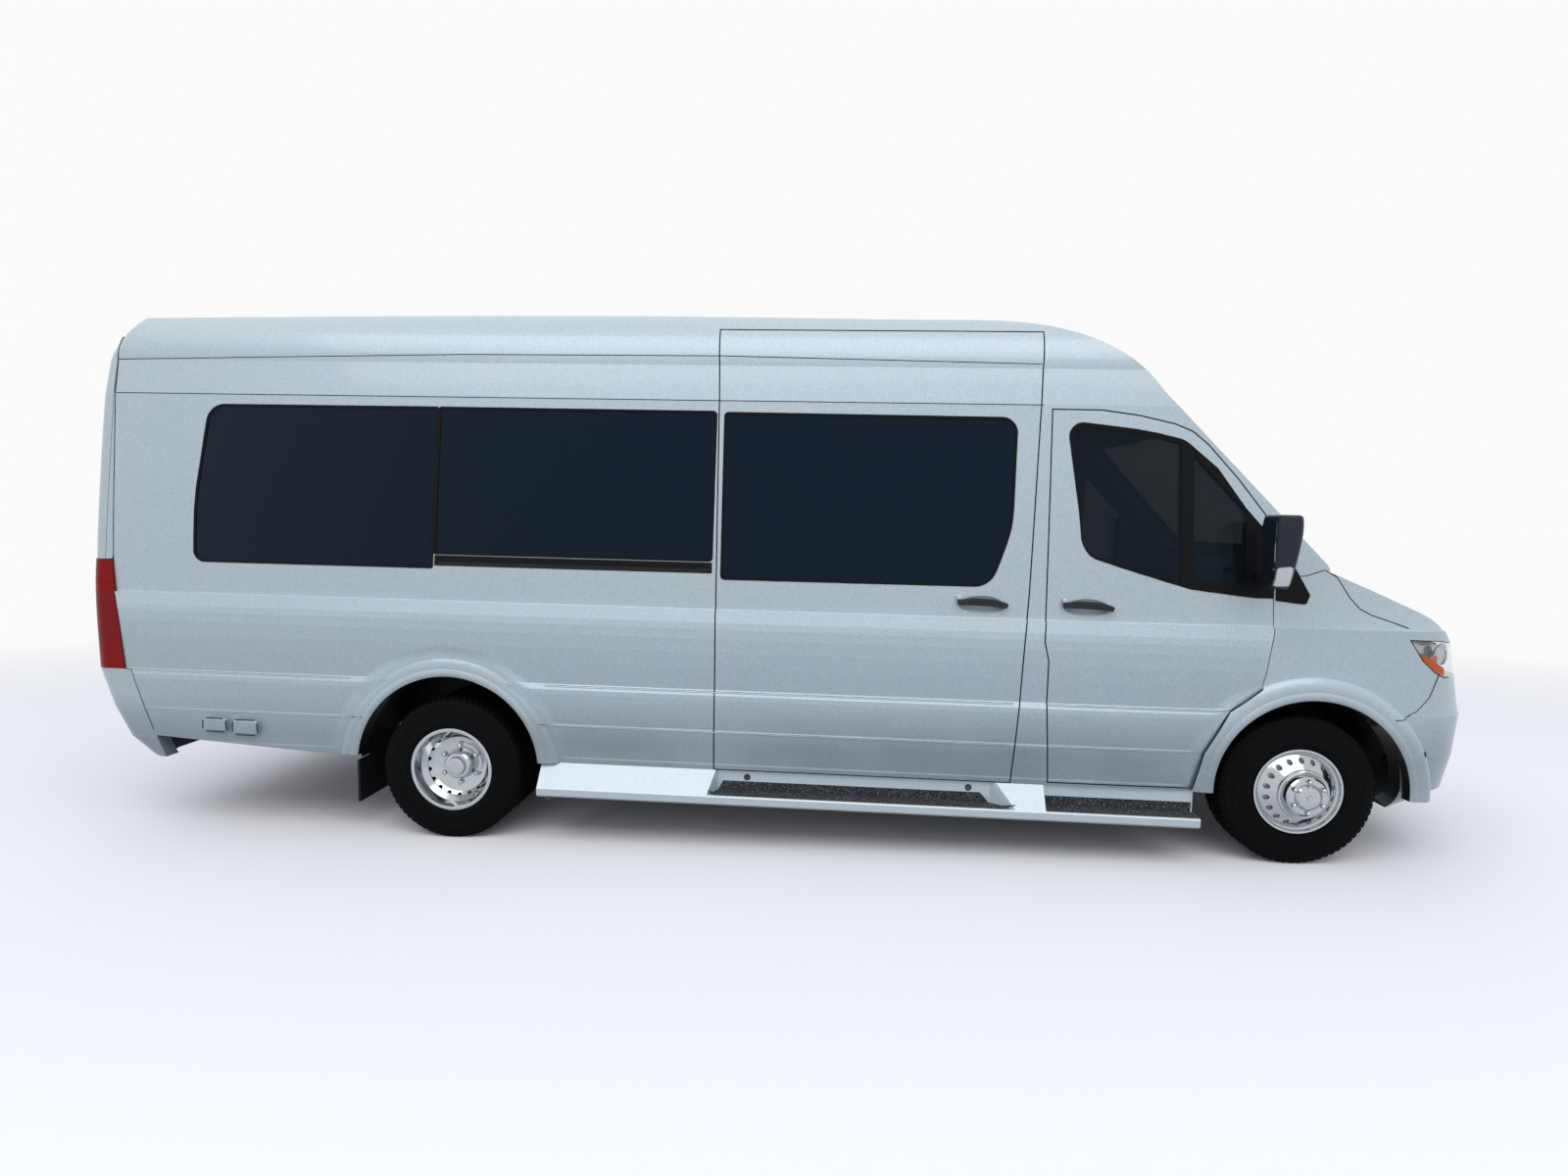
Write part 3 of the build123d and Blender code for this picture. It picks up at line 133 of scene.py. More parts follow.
# %% Colour and node helpers
def linear(text):
    """A colour such as "b5c4cb" as linear red, green, blue and alpha."""
    values = []
    for i in (0, 2, 4):
        c = int(text[i:i + 2], 16) / 255
        values.append(c / 12.92 if c <= 0.04045 else ((c + 0.055) / 1.055) ** 2.4)
    return (*values, 1.0)


def wire(tree, node, inputs):
    """Sets a node's inputs. Each takes a value, or the output socket that feeds it."""
    for name, value in inputs.items():
        if isinstance(value, bpy.types.NodeSocket):
            tree.links.new(value, node.inputs[name])
        else:
            node.inputs[name].default_value = value


def add(tree, kind, inputs=None, **settings):
    """Adds a node with its settings and its inputs."""
    node = tree.nodes.new(kind)
    for name, value in settings.items():
        setattr(node, name, value)
    wire(tree, node, inputs or {})
    return node


def finish_named(name, **values):
    """A new material with these values on its shader; returns the material, its tree and its shader."""
    made = bpy.data.materials.new(name)
    made.use_nodes = True
    shader = made.node_tree.nodes["Principled BSDF"]
    wire(made.node_tree, shader, {key.replace("_", " "): value for key, value in values.items()})
    print("finish:", name)
    return made, made.node_tree, shader


# %% [markdown]
# ## Pressed folds
# The sides are pressed into shallow folds that the model's panels leave out. Under each pressed line the steel
# turns out in a narrow ledge, which shines, and then falls away inward, which darkens. A bump that depends only
# on the height in the level body draws that section, given here as heights and depths in millimetres. It fades
# out toward the wheel arches, which are flared instead.

# %% The section of the sides
FOOT, HEAD, DEEPEST = 0.36, 1.3, 40.0
PRESSED = [
    (1295, 8), (1246, 8), (1232, 12), (1205, 21), (1175, 31), (1140, 37), (1090, 38), (1020, 32), (940, 21), (830, 2),
    (821, 8), (800, 22), (775, 23), (740, 20), (618, 5), (611, 10), (604, 13), (560, 11), (440, 3), (432, 11),
    (405, 14),
]
FOLDS_FADE = 0.06


def pressed_folds(tree, place_in, flares):
    """A bump with that section. flares holds, for each arch, a point's distance from it and its flare's radius."""
    lean = add(tree, "ShaderNodeMath", {0: place_in.outputs["X"], 1: math.sin(LEAN)}, operation="MULTIPLY")
    level = add(
        tree, "ShaderNodeMath", {0: place_in.outputs["Z"], 1: math.cos(LEAN), 2: lean.outputs[0]},
        operation="MULTIPLY_ADD",
    )
    span = add(tree, "ShaderNodeMapRange", {"Value": level.outputs[0], "From Min": FOOT, "From Max": HEAD})
    profile = add(tree, "ShaderNodeValToRGB", {"Fac": span.outputs["Result"]})
    ramp = profile.color_ramp
    for i, (z, out) in enumerate(PRESSED):
        at = (z / 1000 - FOOT) / (HEAD - FOOT)
        stop = ramp.elements[i] if i < 2 else ramp.elements.new(at)
        stop.position, stop.color = at, (out / DEEPEST, out / DEEPEST, out / DEEPEST, 1)
    relief = profile.outputs["Color"]
    for apart, flare in flares:
        clear = add(
            tree, "ShaderNodeMapRange", {"Value": apart, "From Min": flare, "From Max": flare + FOLDS_FADE},
            interpolation_type="SMOOTHSTEP",
        )
        relief = add(
            tree, "ShaderNodeMix", {"Factor": clear.outputs["Result"], "A": 0.5, "B": relief}, data_type="FLOAT"
        ).outputs["Result"]
    return add(tree, "ShaderNodeBump", {"Height": relief, "Strength": 1.0, "Distance": DEEPEST / 1000})


# %% [markdown]
# ## Body paint
# The van is sprayed in a silver base coat full of aluminium flakes under a clear lacquer. Three things make it
# read as paint: a base that is a little metallic, a hard glossy coat above it, and flakes that catch the light
# one by one. Real flakes are a few hundredths of a millimetre, so they are drawn at about 2 mm here. Below the
# lower moulding the tone is painted darker in patches, a painted shade for the dimmer light low on the sides, and
# the arches are black with sealer inside.

# %% Silver metallic lacquer
FLAKE = 0.002
# Painted shade: from the first height down to the second, in metres, the paint is mixed more and more toward its
# darkest tone.
PAINTED_SHADE_STARTS, PAINTED_SHADE_FULL = 0.76, 0.54
ARCHES = ((place(-1690, 0, 352), 0.492), (place(2688, 0, 430), 0.460))
FLARE_REACH, LIP = 0.105, 0.002


def metallic_paint(name, dark, light, painted_shade_tone, folded=False):
    """Silver paint with flakes between two tones, painted darker low down as painted shade, and black within the
    arches.
    """
    made, tree, shader = finish_named(
        name, Metallic=0.22, Roughness=0.42, Coat_Weight=0.6, Coat_Roughness=0.05, Coat_IOR=1.45
    )
    where = add(tree, "ShaderNodeTexCoord").outputs["Object"]
    flake = add(tree, "ShaderNodeTexVoronoi", {"Vector": where, "Scale": 1 / FLAKE})
    speck = add(tree, "ShaderNodeSeparateColor", {"Color": flake.outputs["Color"]})
    tone = add(
        tree, "ShaderNodeMix", {"Factor": speck.outputs["Red"], "A": linear(dark), "B": linear(light)},
        data_type="RGBA",
    )
    drift = add(tree, "ShaderNodeTexNoise", {"Vector": where, "Scale": 1.1, "Detail": 3.0})
    place_in = add(tree, "ShaderNodeSeparateXYZ", {"Vector": where})
    # Painted shade: low on the body the tone is mixed toward the darkest colour, in noisy patches.
    low = add(
        tree, "ShaderNodeMapRange",
        {"Value": place_in.outputs["Z"], "From Min": PAINTED_SHADE_STARTS, "From Max": PAINTED_SHADE_FULL, "To Min": 0.0, "To Max": 0.8},
    )
    patchy_painted_shade = add(tree, "ShaderNodeMath", {0: low.outputs["Result"], 1: drift.outputs["Fac"]}, operation="MULTIPLY")
    paint = add(
        tree, "ShaderNodeMix", {"Factor": patchy_painted_shade.outputs[0], "A": tone.outputs[2], "B": linear(painted_shade_tone)},
        data_type="RGBA",
    ).outputs[2]
    flat = add(tree, "ShaderNodeCombineXYZ", {"X": place_in.outputs["X"], "Z": place_in.outputs["Z"]}).outputs["Vector"]
    flares = []
    for centre, radius in ARCHES:
        middle = (centre.x, 0, centre.z)
        apart = add(tree, "ShaderNodeVectorMath", {0: flat, 1: middle}, operation="DISTANCE").outputs["Value"]
        under = add(tree, "ShaderNodeMath", {0: apart, 1: radius + LIP}, operation="LESS_THAN")
        paint = add(
            tree, "ShaderNodeMix", {"Factor": under.outputs[0], "A": paint, "B": linear("08090a")}, data_type="RGBA"
        ).outputs[2]
        flares.append((apart, radius + FLARE_REACH))
    peel = add(tree, "ShaderNodeTexNoise", {"Vector": where, "Scale": 90.0, "Detail": 2.0})
    bump = add(tree, "ShaderNodeBump", {"Height": peel.outputs["Fac"], "Strength": 0.02, "Distance": 0.001})
    wire(tree, shader, {"Base Color": paint, "Coat Normal": bump.outputs["Normal"]})
    if folded:
        folds = pressed_folds(tree, place_in, flares).outputs["Normal"]
        wire(tree, shader, {"Normal": folds})
        wire(tree, bump, {"Normal": folds})
    return made


# The third tone is painted shade, mixed in low on the body.
SILVER = ("a0afb8", "c5d5df", "4c5357")
silver = metallic_paint("silver_metallic_lacquer", *SILVER)
silver_sides = metallic_paint("silver_metallic_lacquer_on_folded_sides", *SILVER, folded=True)
# The boards wear the same silver painted lighter, a painted light for faces that turn up toward the lamp; their third
# tone is painted shade low down.
silver_painted_lighter_for_boards = metallic_paint("silver_metallic_lacquer_on_boards", "b4c1c9", "dce6ec", "c5d5df")

# %% [markdown]
# ## Glass
# The cabin has privacy glass, tinted through so that only its polish is seen, with a painted blue sky reflection.
# The cab's windows and the windscreen are lightly tinted safety glass. All fixed panes are one CAD piece, so its
# material reads how far forward a point lies and turns from privacy glass to windscreen glass ahead of the cab.

# %% Privacy glass and cab glass
# The first colour tints every reflection on the glass blue: a painted sky reflection.
SKY_BLUE_PAINTED_REFLECTION, PRIVACY, SAFETY = linear("7e98b8"), linear("0d1722"), linear("10171a")
CAB_STARTS = 1.9


def glass(name, **values):
    """Polished tinted glass, its reflections tinted blue as a painted sky reflection."""
    return finish_named(name, Roughness=0.01, IOR=1.45, Specular_Tint=SKY_BLUE_PAINTED_REFLECTION, **values)


cab_glass = glass("tinted_safety_glass", Base_Color=SAFETY, Alpha=0.7)[0]
tail_glass = glass("privacy_tinted_glass", Base_Color=PRIVACY, Alpha=0.98)[0]
fixed_glass, tree, shader = glass("privacy_and_screen_glass")
where = add(tree, "ShaderNodeTexCoord").outputs["Object"]
place_in = add(tree, "ShaderNodeSeparateXYZ", {"Vector": where})
front = add(tree, "ShaderNodeMath", {0: place_in.outputs["X"], 1: CAB_STARTS}, operation="GREATER_THAN")
tint = add(tree, "ShaderNodeMix", {"Factor": front.outputs[0], "A": PRIVACY, "B": SAFETY}, data_type="RGBA")
clear = add(tree, "ShaderNodeMapRange", {"Value": front.outputs[0], "To Min": 0.98, "To Max": 0.66})
wire(tree, shader, {"Base Color": tint.outputs[2], "Alpha": clear.outputs["Result"]})

# %% [markdown]
# ## Plastics and rubber
# Moulded trim is polypropylene or ABS with a fine grain, and tyres and gaskets are black rubber. One recipe serves
# them, and sealer, chassis paint and seat cloth too: an uneven tone in large clouds, and a bump as fine as the
# real grain.


# %% Moulded plastics and rubber
def moulded(name, colour, roughness, grain, depth, shine=0.3):
    """Moulded plastic or rubber: one colour, slightly uneven, with a grain of this size in metres."""
    made, tree, shader = finish_named(name, Roughness=roughness, Specular_IOR_Level=shine)
    where = add(tree, "ShaderNodeTexCoord").outputs["Object"]
    cloud = add(tree, "ShaderNodeTexNoise", {"Vector": where, "Scale": 6.0, "Detail": 4.0})
    ramp = add(tree, "ShaderNodeMapRange", {"Value": cloud.outputs["Fac"], "To Min": 0.8, "To Max": 1.2})
    tint = add(
        tree, "ShaderNodeMix", {"Factor": 1.0, "A": linear(colour), "B": ramp.outputs["Result"]},
        data_type="RGBA", blend_type="MULTIPLY",
    )
    fine = add(tree, "ShaderNodeTexNoise", {"Vector": where, "Scale": 1 / grain, "Detail": 1.0})
    bump = add(tree, "ShaderNodeBump", {"Height": fine.outputs["Fac"], "Strength": 0.5, "Distance": depth})
    wire(tree, shader, {"Base Color": tint.outputs[2], "Normal": bump.outputs["Normal"]})
    return made


black_plastic = moulded("grained_black_polypropylene", "15171a", 0.42, 0.0025, 0.0002, 0.15)
mirror_plastic = moulded("grained_navy_grey_mirror_housing", "1b222c", 0.38, 0.002, 0.0002)
grip_plastic = moulded("satin_black_handle_grip", "1e252c", 0.32, 0.002, 0.0001)
grey_trim = moulded("grained_grey_dash_moulding", "2b2d30", 0.6, 0.002, 0.0003)
black_rubber = moulded("black_epdm_rubber", "0d0e10", 0.5, 0.003, 0.0002, 0.1)
window_border = moulded("black_ceramic_glass_border", "07090c", 0.2, 0.004, 0.00003, 0.15)
# This black also draws the painted shadow under the pressed lines.
seam_sealer_and_painted_shadow = moulded("black_seam_sealer", "0b0c0d", 0.8, 0.003, 0.0001)
tyre_rubber = moulded("tyre_rubber", "0c0d0f", 0.7, 0.004, 0.0003, 0.06)
chassis_black = moulded("black_chassis_paint", "101113", 0.45, 0.006, 0.0002, 0.15)
sealer = moulded("grey_underbody_sealer", "1d2022", 0.75, 0.012, 0.0008)
seat_cloth = moulded("woven_seat_cloth", "2b2e33", 0.95, 0.003, 0.0006)

# %% [markdown]
# ## Grit
# The step mats are rubber with mineral grit rolled in: a dark ground and pale grains of one or two millimetres.
# Each is a cell of a Voronoi pattern, 4 mm wide so that it shows, picked out only where its random value is high.

# %% Grit matting
GRAIN = 0.004
grit, tree, shader = finish_named("grit_matting", Roughness=0.85)
where = add(tree, "ShaderNodeTexCoord").outputs["Object"]
cells = add(tree, "ShaderNodeTexVoronoi", {"Vector": where, "Scale": 1 / GRAIN})
pick = add(tree, "ShaderNodeSeparateColor", {"Color": cells.outputs["Color"]})
bright = add(
    tree, "ShaderNodeMapRange", {"Value": pick.outputs["Red"], "From Min": 0.78, "From Max": 0.9, "To Max": 0.7}
)
speckle = add(
    tree, "ShaderNodeMix", {"Factor": bright.outputs["Result"], "A": linear("23262a"), "B": linear("7d858c")},
    data_type="RGBA",
)
rise = add(tree, "ShaderNodeBump", {"Height": pick.outputs["Green"], "Strength": 0.8, "Distance": 0.001})
wire(tree, shader, {"Base Color": speckle.outputs[2], "Normal": rise.outputs["Normal"]})

# %% [markdown]
# ## Metals
# The wheel covers are chromed steel, the exhaust is dull stainless, and the castings are bare iron. Metal takes
# its look from what it mirrors, so the only pattern is a slow change in roughness, as from wiping and weather.


# %% Chrome, steel and iron
def metal(name, colour, roughness, streak=0.0):
    """A metal that is as rough as this, give or take 30 %, with some more where it is streaked."""
    made, tree, shader = finish_named(name, Metallic=1.0, Roughness=roughness, Base_Color=linear(colour))
    where = add(tree, "ShaderNodeTexCoord").outputs["Object"]
    smear = add(tree, "ShaderNodeTexNoise", {"Vector": where, "Scale": 9.0, "Detail": 5.0})
    rough = add(
        tree, "ShaderNodeMapRange",
        {"Value": smear.outputs["Fac"], "To Min": roughness * 0.7, "To Max": roughness * 1.3 + streak},
    )
    wire(tree, shader, {"Roughness": rough.outputs["Result"]})
    return made


chrome = metal("chromed_steel", "b9bdc0", 0.1)
mirror_glass = metal("silvered_mirror_glass", "c8ced2", 0.02)
exhaust_steel = metal("dull_stainless_steel", "6f675f", 0.42, 0.1)
cast_iron = metal("bare_cast_iron", "3a3836", 0.6, 0.1)

# %% [markdown]
# ## Lamp lenses
# Lenses are moulded polycarbonate or acrylic. The red tail lens has upright flutes on its inside, which show as
# fine bright and dark bands, so its bump is a wave of one flute every 11 mm down the lamp, and its red is painted
# lighter and darker along the same wave as painted highlights and painted shade. At a scale of 1, one wave is
# 0.314 m long.


# %% Lenses
def lens(name, colour, alpha, roughness=0.05, coat=1.0, shine=0.5):
    """A moulded lens; the shine is the level of its own reflection under the coat."""
    return finish_named(
        name, Base_Color=linear(colour), Roughness=roughness, IOR=1.49, Alpha=alpha, Coat_Weight=coat,
        Specular_IOR_Level=shine,
    )[0]


clear_lens = lens("clear_polycarbonate_lens", "e8edf0", 0.1)
amber_lens = lens("amber_acrylic_lens", "d05602", 1.0, 0.2, 0.15, 0.25)
FLUTE, WAVE = 0.011, 0.314
red_lens, tree, shader = finish_named(
    "fluted_red_acrylic_lens", Roughness=0.25, Specular_IOR_Level=0.12, Coat_Weight=0.03
)
where = add(tree, "ShaderNodeTexCoord").outputs["Object"]
flutes = add(
    tree, "ShaderNodeTexWave", {"Vector": where, "Scale": WAVE / FLUTE, "Distortion": 0.0}, bands_direction="Z"
)
# Painted highlights and painted shade: the red turns lighter and darker with each flute.
shade = add(
    tree, "ShaderNodeMix", {"Factor": flutes.outputs["Fac"], "A": linear("64040a"), "B": linear("a8070e")},
    data_type="RGBA",
)
ridge = add(tree, "ShaderNodeBump", {"Height": flutes.outputs["Fac"], "Strength": 0.6, "Distance": 0.002})
wire(tree, shader, {"Base Color": shade.outputs[2], "Normal": ridge.outputs["Normal"]})

# %% [markdown]
# ## Dressing the CAD pieces
# Each CAD piece keeps its shape and gets the finish of the real one.

# %% Dress the CAD pieces
DRESS = {
    silver: "roof front_wings front_bumper rear_bumper right_rear_door left_rear_door bonnet",
    silver_painted_lighter_for_boards: "running_boards",
    silver_sides: "right_side_panel left_side_panel cab_frame sliding_door right_cab_door left_cab_door",
    fixed_glass: "fixed_windows",
    tail_glass: "right_rear_glass left_rear_glass",
    cab_glass: "right_cab_glass left_cab_glass",
    red_lens: "tail_lamps",
    black_plastic: "grille arch_liners wipers fuel_tank",
    mirror_plastic: "right_mirror left_mirror",
    grey_trim: "dashboard steering_wheel",
    sealer: "underbody",
    chassis_black: "rear_axle front_subframe",
    cast_iron: "engine left_knuckle right_knuckle",
    exhaust_steel: "exhaust",
    chrome: "front_left_rim front_right_rim rear_left_rims rear_right_rims",
}
for made, names in DRESS.items():
    for name in names.split():
        nodes[name].data.materials.clear()
        nodes[name].data.materials.append(made)
print("dressed", sum(len(names.split()) for names in DRESS.values()), "CAD pieces")

# %% [markdown]
# ## Outlines
# Windows, gaskets and mats are plane outlines laid on the body. A corner may carry a third number, its radius.
# An outline can be rounded, made finer, or moved outward by a few millimetres, and the region between an outline
# and the holes in it is filled with small triangles so that it can follow a curved panel.


# %% Making an outline
def rounded(corners):
    """The outline through these corners, in millimetres; a third number rounds its corner by that radius."""
    ring = []
    for i, corner in enumerate(corners):
        here = Vector(corner[:2])
        if len(corner) < 3:
            ring.append(here)
            continue
        back = (Vector(corners[i - 1][:2]) - here).normalized()
        on = (Vector(corners[(i + 1) % len(corners)][:2]) - here).normalized()
        half = back.angle(on) / 2
        middle = here + (back + on).normalized() * corner[2] / math.sin(half)
        first = here + back * corner[2] / math.tan(half) - middle
        sweep = (math.pi - 2 * half) * (1 if back.cross(on) < 0 else -1)
        count = max(1, math.ceil(abs(sweep) / math.radians(9)))
        ring += [middle + Matrix.Rotation(sweep * k / count, 2) @ first for k in range(count + 1)]
    return ring


def circle(u, v, radius, count):
    """The points of a round outline."""
    return [(u + radius * math.cos(a), v + radius * math.sin(a)) for a in (math.tau * k / count for k in range(count))]


def mirrored(outline, side):
    """An outline with its first numbers turned to one side of the van."""
    return [(side * u, *rest) for u, *rest in outline]


# %% Growing and refining an outline
def grown(ring, by):
    """The ring moved outward by this many millimetres."""
    area = sum(a.cross(b) for a, b in zip(ring, ring[1:] + ring[:1]))
    way = 1 if area > 0 else -1
    moved = []
    for i, here in enumerate(ring):
        into = (here - ring[i - 1]).normalized()
        on = (ring[(i + 1) % len(ring)] - here).normalized()
        a, b = Vector((into.y, -into.x)) * way, Vector((on.y, -on.x)) * way
        middle = (a + b).normalized()
        moved.append(here + middle * by / max(0.3, middle.dot(a)))
    return moved


def finer(ring, step, closed=True):
    """The ring with no run longer than step."""
    made = []
    for a, b in zip(ring, ring[1:] + ring[:1] if closed else ring[1:]):
        count = max(1, math.ceil((b - a).length / step))
        made += [a.lerp(b, k / count) for k in range(count)]
    return made if closed else made + [ring[-1]]


# %% Filling an outline
def inside(point, rings):
    """Whether a point lies in the first ring and in none of the others."""
    odd = False
    for ring in rings:
        for a, b in zip(ring, ring[1:] + ring[:1]):
            if (a.y > point.y) != (b.y > point.y) and point.x < (b.x - a.x) * (point.y - a.y) / (b.y - a.y) + a.x:
                odd = not odd
    return odd


def filled(rings, step):
    """Triangles over the region inside the first ring and outside the others: points, and faces of three."""
    rings = [finer(ring, step) for ring in rings]
    points, edges = [], []
    for ring in rings:
        first = len(points)
        points += ring
        edges += [(first + i, first + (i + 1) % len(ring)) for i in range(len(ring))]
    low = Vector((min(p.x for p in rings[0]), min(p.y for p in rings[0])))
    high = Vector((max(p.x for p in rings[0]), max(p.y for p in rings[0])))
    edge = list(points)
    for i in range(int((high.x - low.x) / step)):
        for k in range(int((high.y - low.y) / step)):
            spot = low + Vector((i + 0.5, k + 0.5)) * step
            if inside(spot, rings) and min((spot - p).length for p in edge) > step * 0.5:
                points.append(spot)
    spots, _, faces, _, _, _ = delaunay_2d_cdt(points, edges, [], 0, 0.01)
    kept = [f for f in faces if inside((spots[f[0]] + spots[f[1]] + spots[f[2]]) / 3, rings)]
    return spots, kept


# %% [markdown]
# ## Laying things on the body
# Trim follows the panels under it, so each outline point is sent as a ray against the CAD faces. Rays a few
# millimetres to each side are sent too, and the outermost answer is used, so that trim bridges the door gaps.


# %% Rays onto CAD faces
BRIDGED, RAY = 7, 2.0


def onto(names, start, toward):
    """A function that lays an outline point on the outermost of these nodes. start gives the ray's first point."""
    corners, faces = [], []
    for name in names.split():
        mesh = nodes[name].data
        first = len(corners)
        corners += [v.co.copy() for v in mesh.vertices]
        faces += [[first + i for i in f.vertices] for f in mesh.polygons]
    tree = BVHTree.FromPolygons(corners, faces)
    way = heading(*toward).normalized()

    def lay(p):
        spans = []
        for du, dv in ((0, 0), (BRIDGED, 0), (-BRIDGED, 0), (0, BRIDGED), (0, -BRIDGED)):
            span = tree.ray_cast(place(*start(p[0] + du, p[1] + dv)), way, RAY)[3]
            spans += [span] if span is not None else []
        return place(*start(*p)) + way * min(spans) if spans else None

    lay.way = way
    return lay


def on_side(names, side):
    """Lays points (x, z) on these nodes from one side of the van."""
    return onto(names, lambda x, z: (x, side * 1300, z), (0, -side, 0))


SHARED = "fixed_windows roof cab_frame front_wings running_boards rear_bumper front_bumper headlamps tail_lamps bonnet"
bodyside = {}
for word, side in SIDES.items():
    own = f"{word}_side_panel {word}_cab_door {word}_cab_glass" + (" sliding_door" if side == RIGHT else "")
    bodyside[side] = on_side(f"{own} {SHARED}", side)
front_face = onto("front_bumper grille bonnet headlamps", lambda y, z: (4300, y, z), (-1, 0, 0))
screen = onto("fixed_windows cab_frame roof", lambda y, z: (4000, y, z), (-1, 0, 0))
tail_face = onto(
    "right_rear_door left_rear_door right_rear_glass left_rear_glass rear_bumper roof tail_lamps",
    lambda y, z: (-4300, y, z), (1, 0, 0),
)
print("ray trees ready")

# %% [markdown]
# ## Meshes and pieces
# Most pieces are made in one of two ways. A plate is a filled region laid on the body and given a thickness. A
# lofted form is a row of rings of points joined by quads, such as a nut, a tread block, a lamp bowl or a grip.


# %% Keeping a piece
def keep(name, mesh, look, body):
    """A finished mesh as a piece of this look, riding on a body."""
    made = new_object(name, mesh)
    mesh.materials.clear()
    mesh.materials.append(look)
    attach(made, body)
    print(f"{name}: {len(mesh.polygons)} faces")
    return made


def mesh_of(bm, name, outward=True, smooth=0):
    """A finished mesh, its faces turned outward, shaded smooth where they meet within this many degrees."""
    if outward:
        bmesh.ops.recalc_face_normals(bm, faces=bm.faces)
    mesh = bpy.data.meshes.new(name)
    bm.to_mesh(mesh)
    bm.free()
    if smooth:
        mesh.shade_smooth()
    if 0 < smooth < 180:
        mesh.set_sharp_from_angle(angle=math.radians(smooth))
    return mesh


def thickened(made, thick, way):
    """The piece with a wall of this many millimetres, outward (1) or inward (-1) of its faces."""
    wall = made.modifiers.new("thickness", "SOLIDIFY")
    wall.thickness, wall.offset = thick / 1000, way
    return made


# %% Plates
def drop_loose(bm):
    """Deletes the points that belong to no face."""
    bmesh.ops.delete(bm, geom=[v for v in bm.verts if not v.link_faces], context="VERTS")


def plates(name, regions, look, body, thick=1.6, step=45):
    """Thin plates over regions of the body. A region is its rings and the function that lays its points."""
    bm = bmesh.new()
    for rings, lay in regions:
        spots, faces = filled(rings, step)
        laid = [lay(p) for p in spots]
        made = [bm.verts.new(p) if p else None for p in laid]
        for f in faces:
            if all(made[i] for i in f):
                bm.faces.new([made[i] for i in f])
    drop_loose(bm)
    bm.normal_update()
    for f in bm.faces:
        if f.normal.dot(regions[0][1].way) > 0:
            f.normal_flip()
    return thickened(keep(name, mesh_of(bm, name, outward=False), look, body), thick, 1)


def patch(outline, lay, by=0):
    """A region with no hole: its outline, moved outward by some millimetres, and what lays its points."""
    ring = rounded(outline)
    return [grown(ring, by) if by else ring], lay


# %% Lofted forms
def lofted(name, forms, closed=False, smooth=0):
    """A mesh of forms, each of rings of points. Its end rings are capped, or joined to each other if closed."""
    bm = bmesh.new()
    for form in forms:
        rings = [[bm.verts.new(p) for p in ring] for ring in form]
        for near, far in zip(rings, rings[1:] + rings[:1] if closed else rings[1:]):
            for i in range(len(near)):
                k = (i + 1) % len(near)
                bm.faces.new((near[i], near[k], far[k], far[i]))
        if not closed:
            bm.faces.new(rings[0])
            bm.faces.new(rings[-1])
    return mesh_of(bm, name, smooth=smooth)


def pressed(name, outlines, y0, y1, look, body, edge=2.0):
    """Solids from outlines in the level body's (x, z), from y0 to y1, in millimetres, with a rounded edge."""
    forms = [[[place(p.x, y, p.y) for p in rounded(outline)] for y in (y0, y1)] for outline in outlines]
    made = keep(name, lofted(name, forms), look, body)
    soft = made.modifiers.new("edge", "BEVEL")
    soft.width, soft.segments, soft.limit_method = edge / 1000, 2, "ANGLE"
    return made


# %% [markdown]
# ## Trees for what follows a path or repeats
# Three Geometry Nodes trees serve the whole van. One runs a round bead along drawn lines, for seams and seals.
# One sets copies of a part round a wheel, for tread blocks and nuts. One sets copies in a row, for the blades of
# an air outlet.


# %% Opening and closing a tree
def tree_named(name, sockets):
    """A Geometry Nodes tree with these named inputs; returns the tree and its input and output nodes."""
    tree = bpy.data.node_groups.new(name, "GeometryNodeTree")
    tree.interface.new_socket("Geometry", in_out="INPUT", socket_type="NodeSocketGeometry")
    for word, kind in sockets.items():
        tree.interface.new_socket(word, in_out="INPUT", socket_type="NodeSocket" + kind)
    tree.interface.new_socket("Geometry", in_out="OUTPUT", socket_type="NodeSocketGeometry")
    return tree, add(tree, "NodeGroupInput"), add(tree, "NodeGroupOutput")


def close_tree(tree, given, result, shape):
    """Ends a tree in Realize Instances and Set Material."""
    solid = add(tree, "GeometryNodeRealizeInstances", {"Geometry": shape})
    painted = add(
        tree, "GeometryNodeSetMaterial", {"Geometry": solid.outputs["Geometry"], "Material": given.outputs["Finish"]}
    )
    wire(tree, result, {"Geometry": painted.outputs["Geometry"]})


def close_copies(tree, given, result, spots, **turned):
    """Sets a copy of what the tree is given at each of Count spots, and ends the tree."""
    seeds = add(tree, "GeometryNodePoints", {"Count": given.outputs["Count"], "Position": spots})
    copies = add(
        tree, "GeometryNodeInstanceOnPoints",
        {"Points": seeds.outputs[0], "Instance": given.outputs["Geometry"], **turned},
    )
    close_tree(tree, given, result, copies.outputs["Instances"])


# %% The three trees
bead_line, given, result = tree_named("bead_along_lines", {"Radius": "Float", "Finish": "Material"})
path = add(bead_line, "GeometryNodeMeshToCurve", {"Mesh": given.outputs["Geometry"]})
section = add(bead_line, "GeometryNodeCurvePrimitiveCircle", {"Resolution": 6, "Radius": given.outputs["Radius"]})
bead = add(
    bead_line, "GeometryNodeCurveToMesh",
    {"Curve": path.outputs["Curve"], "Profile Curve": section.outputs["Curve"], "Fill Caps": True},
)
close_tree(bead_line, given, result, bead.outputs["Mesh"])

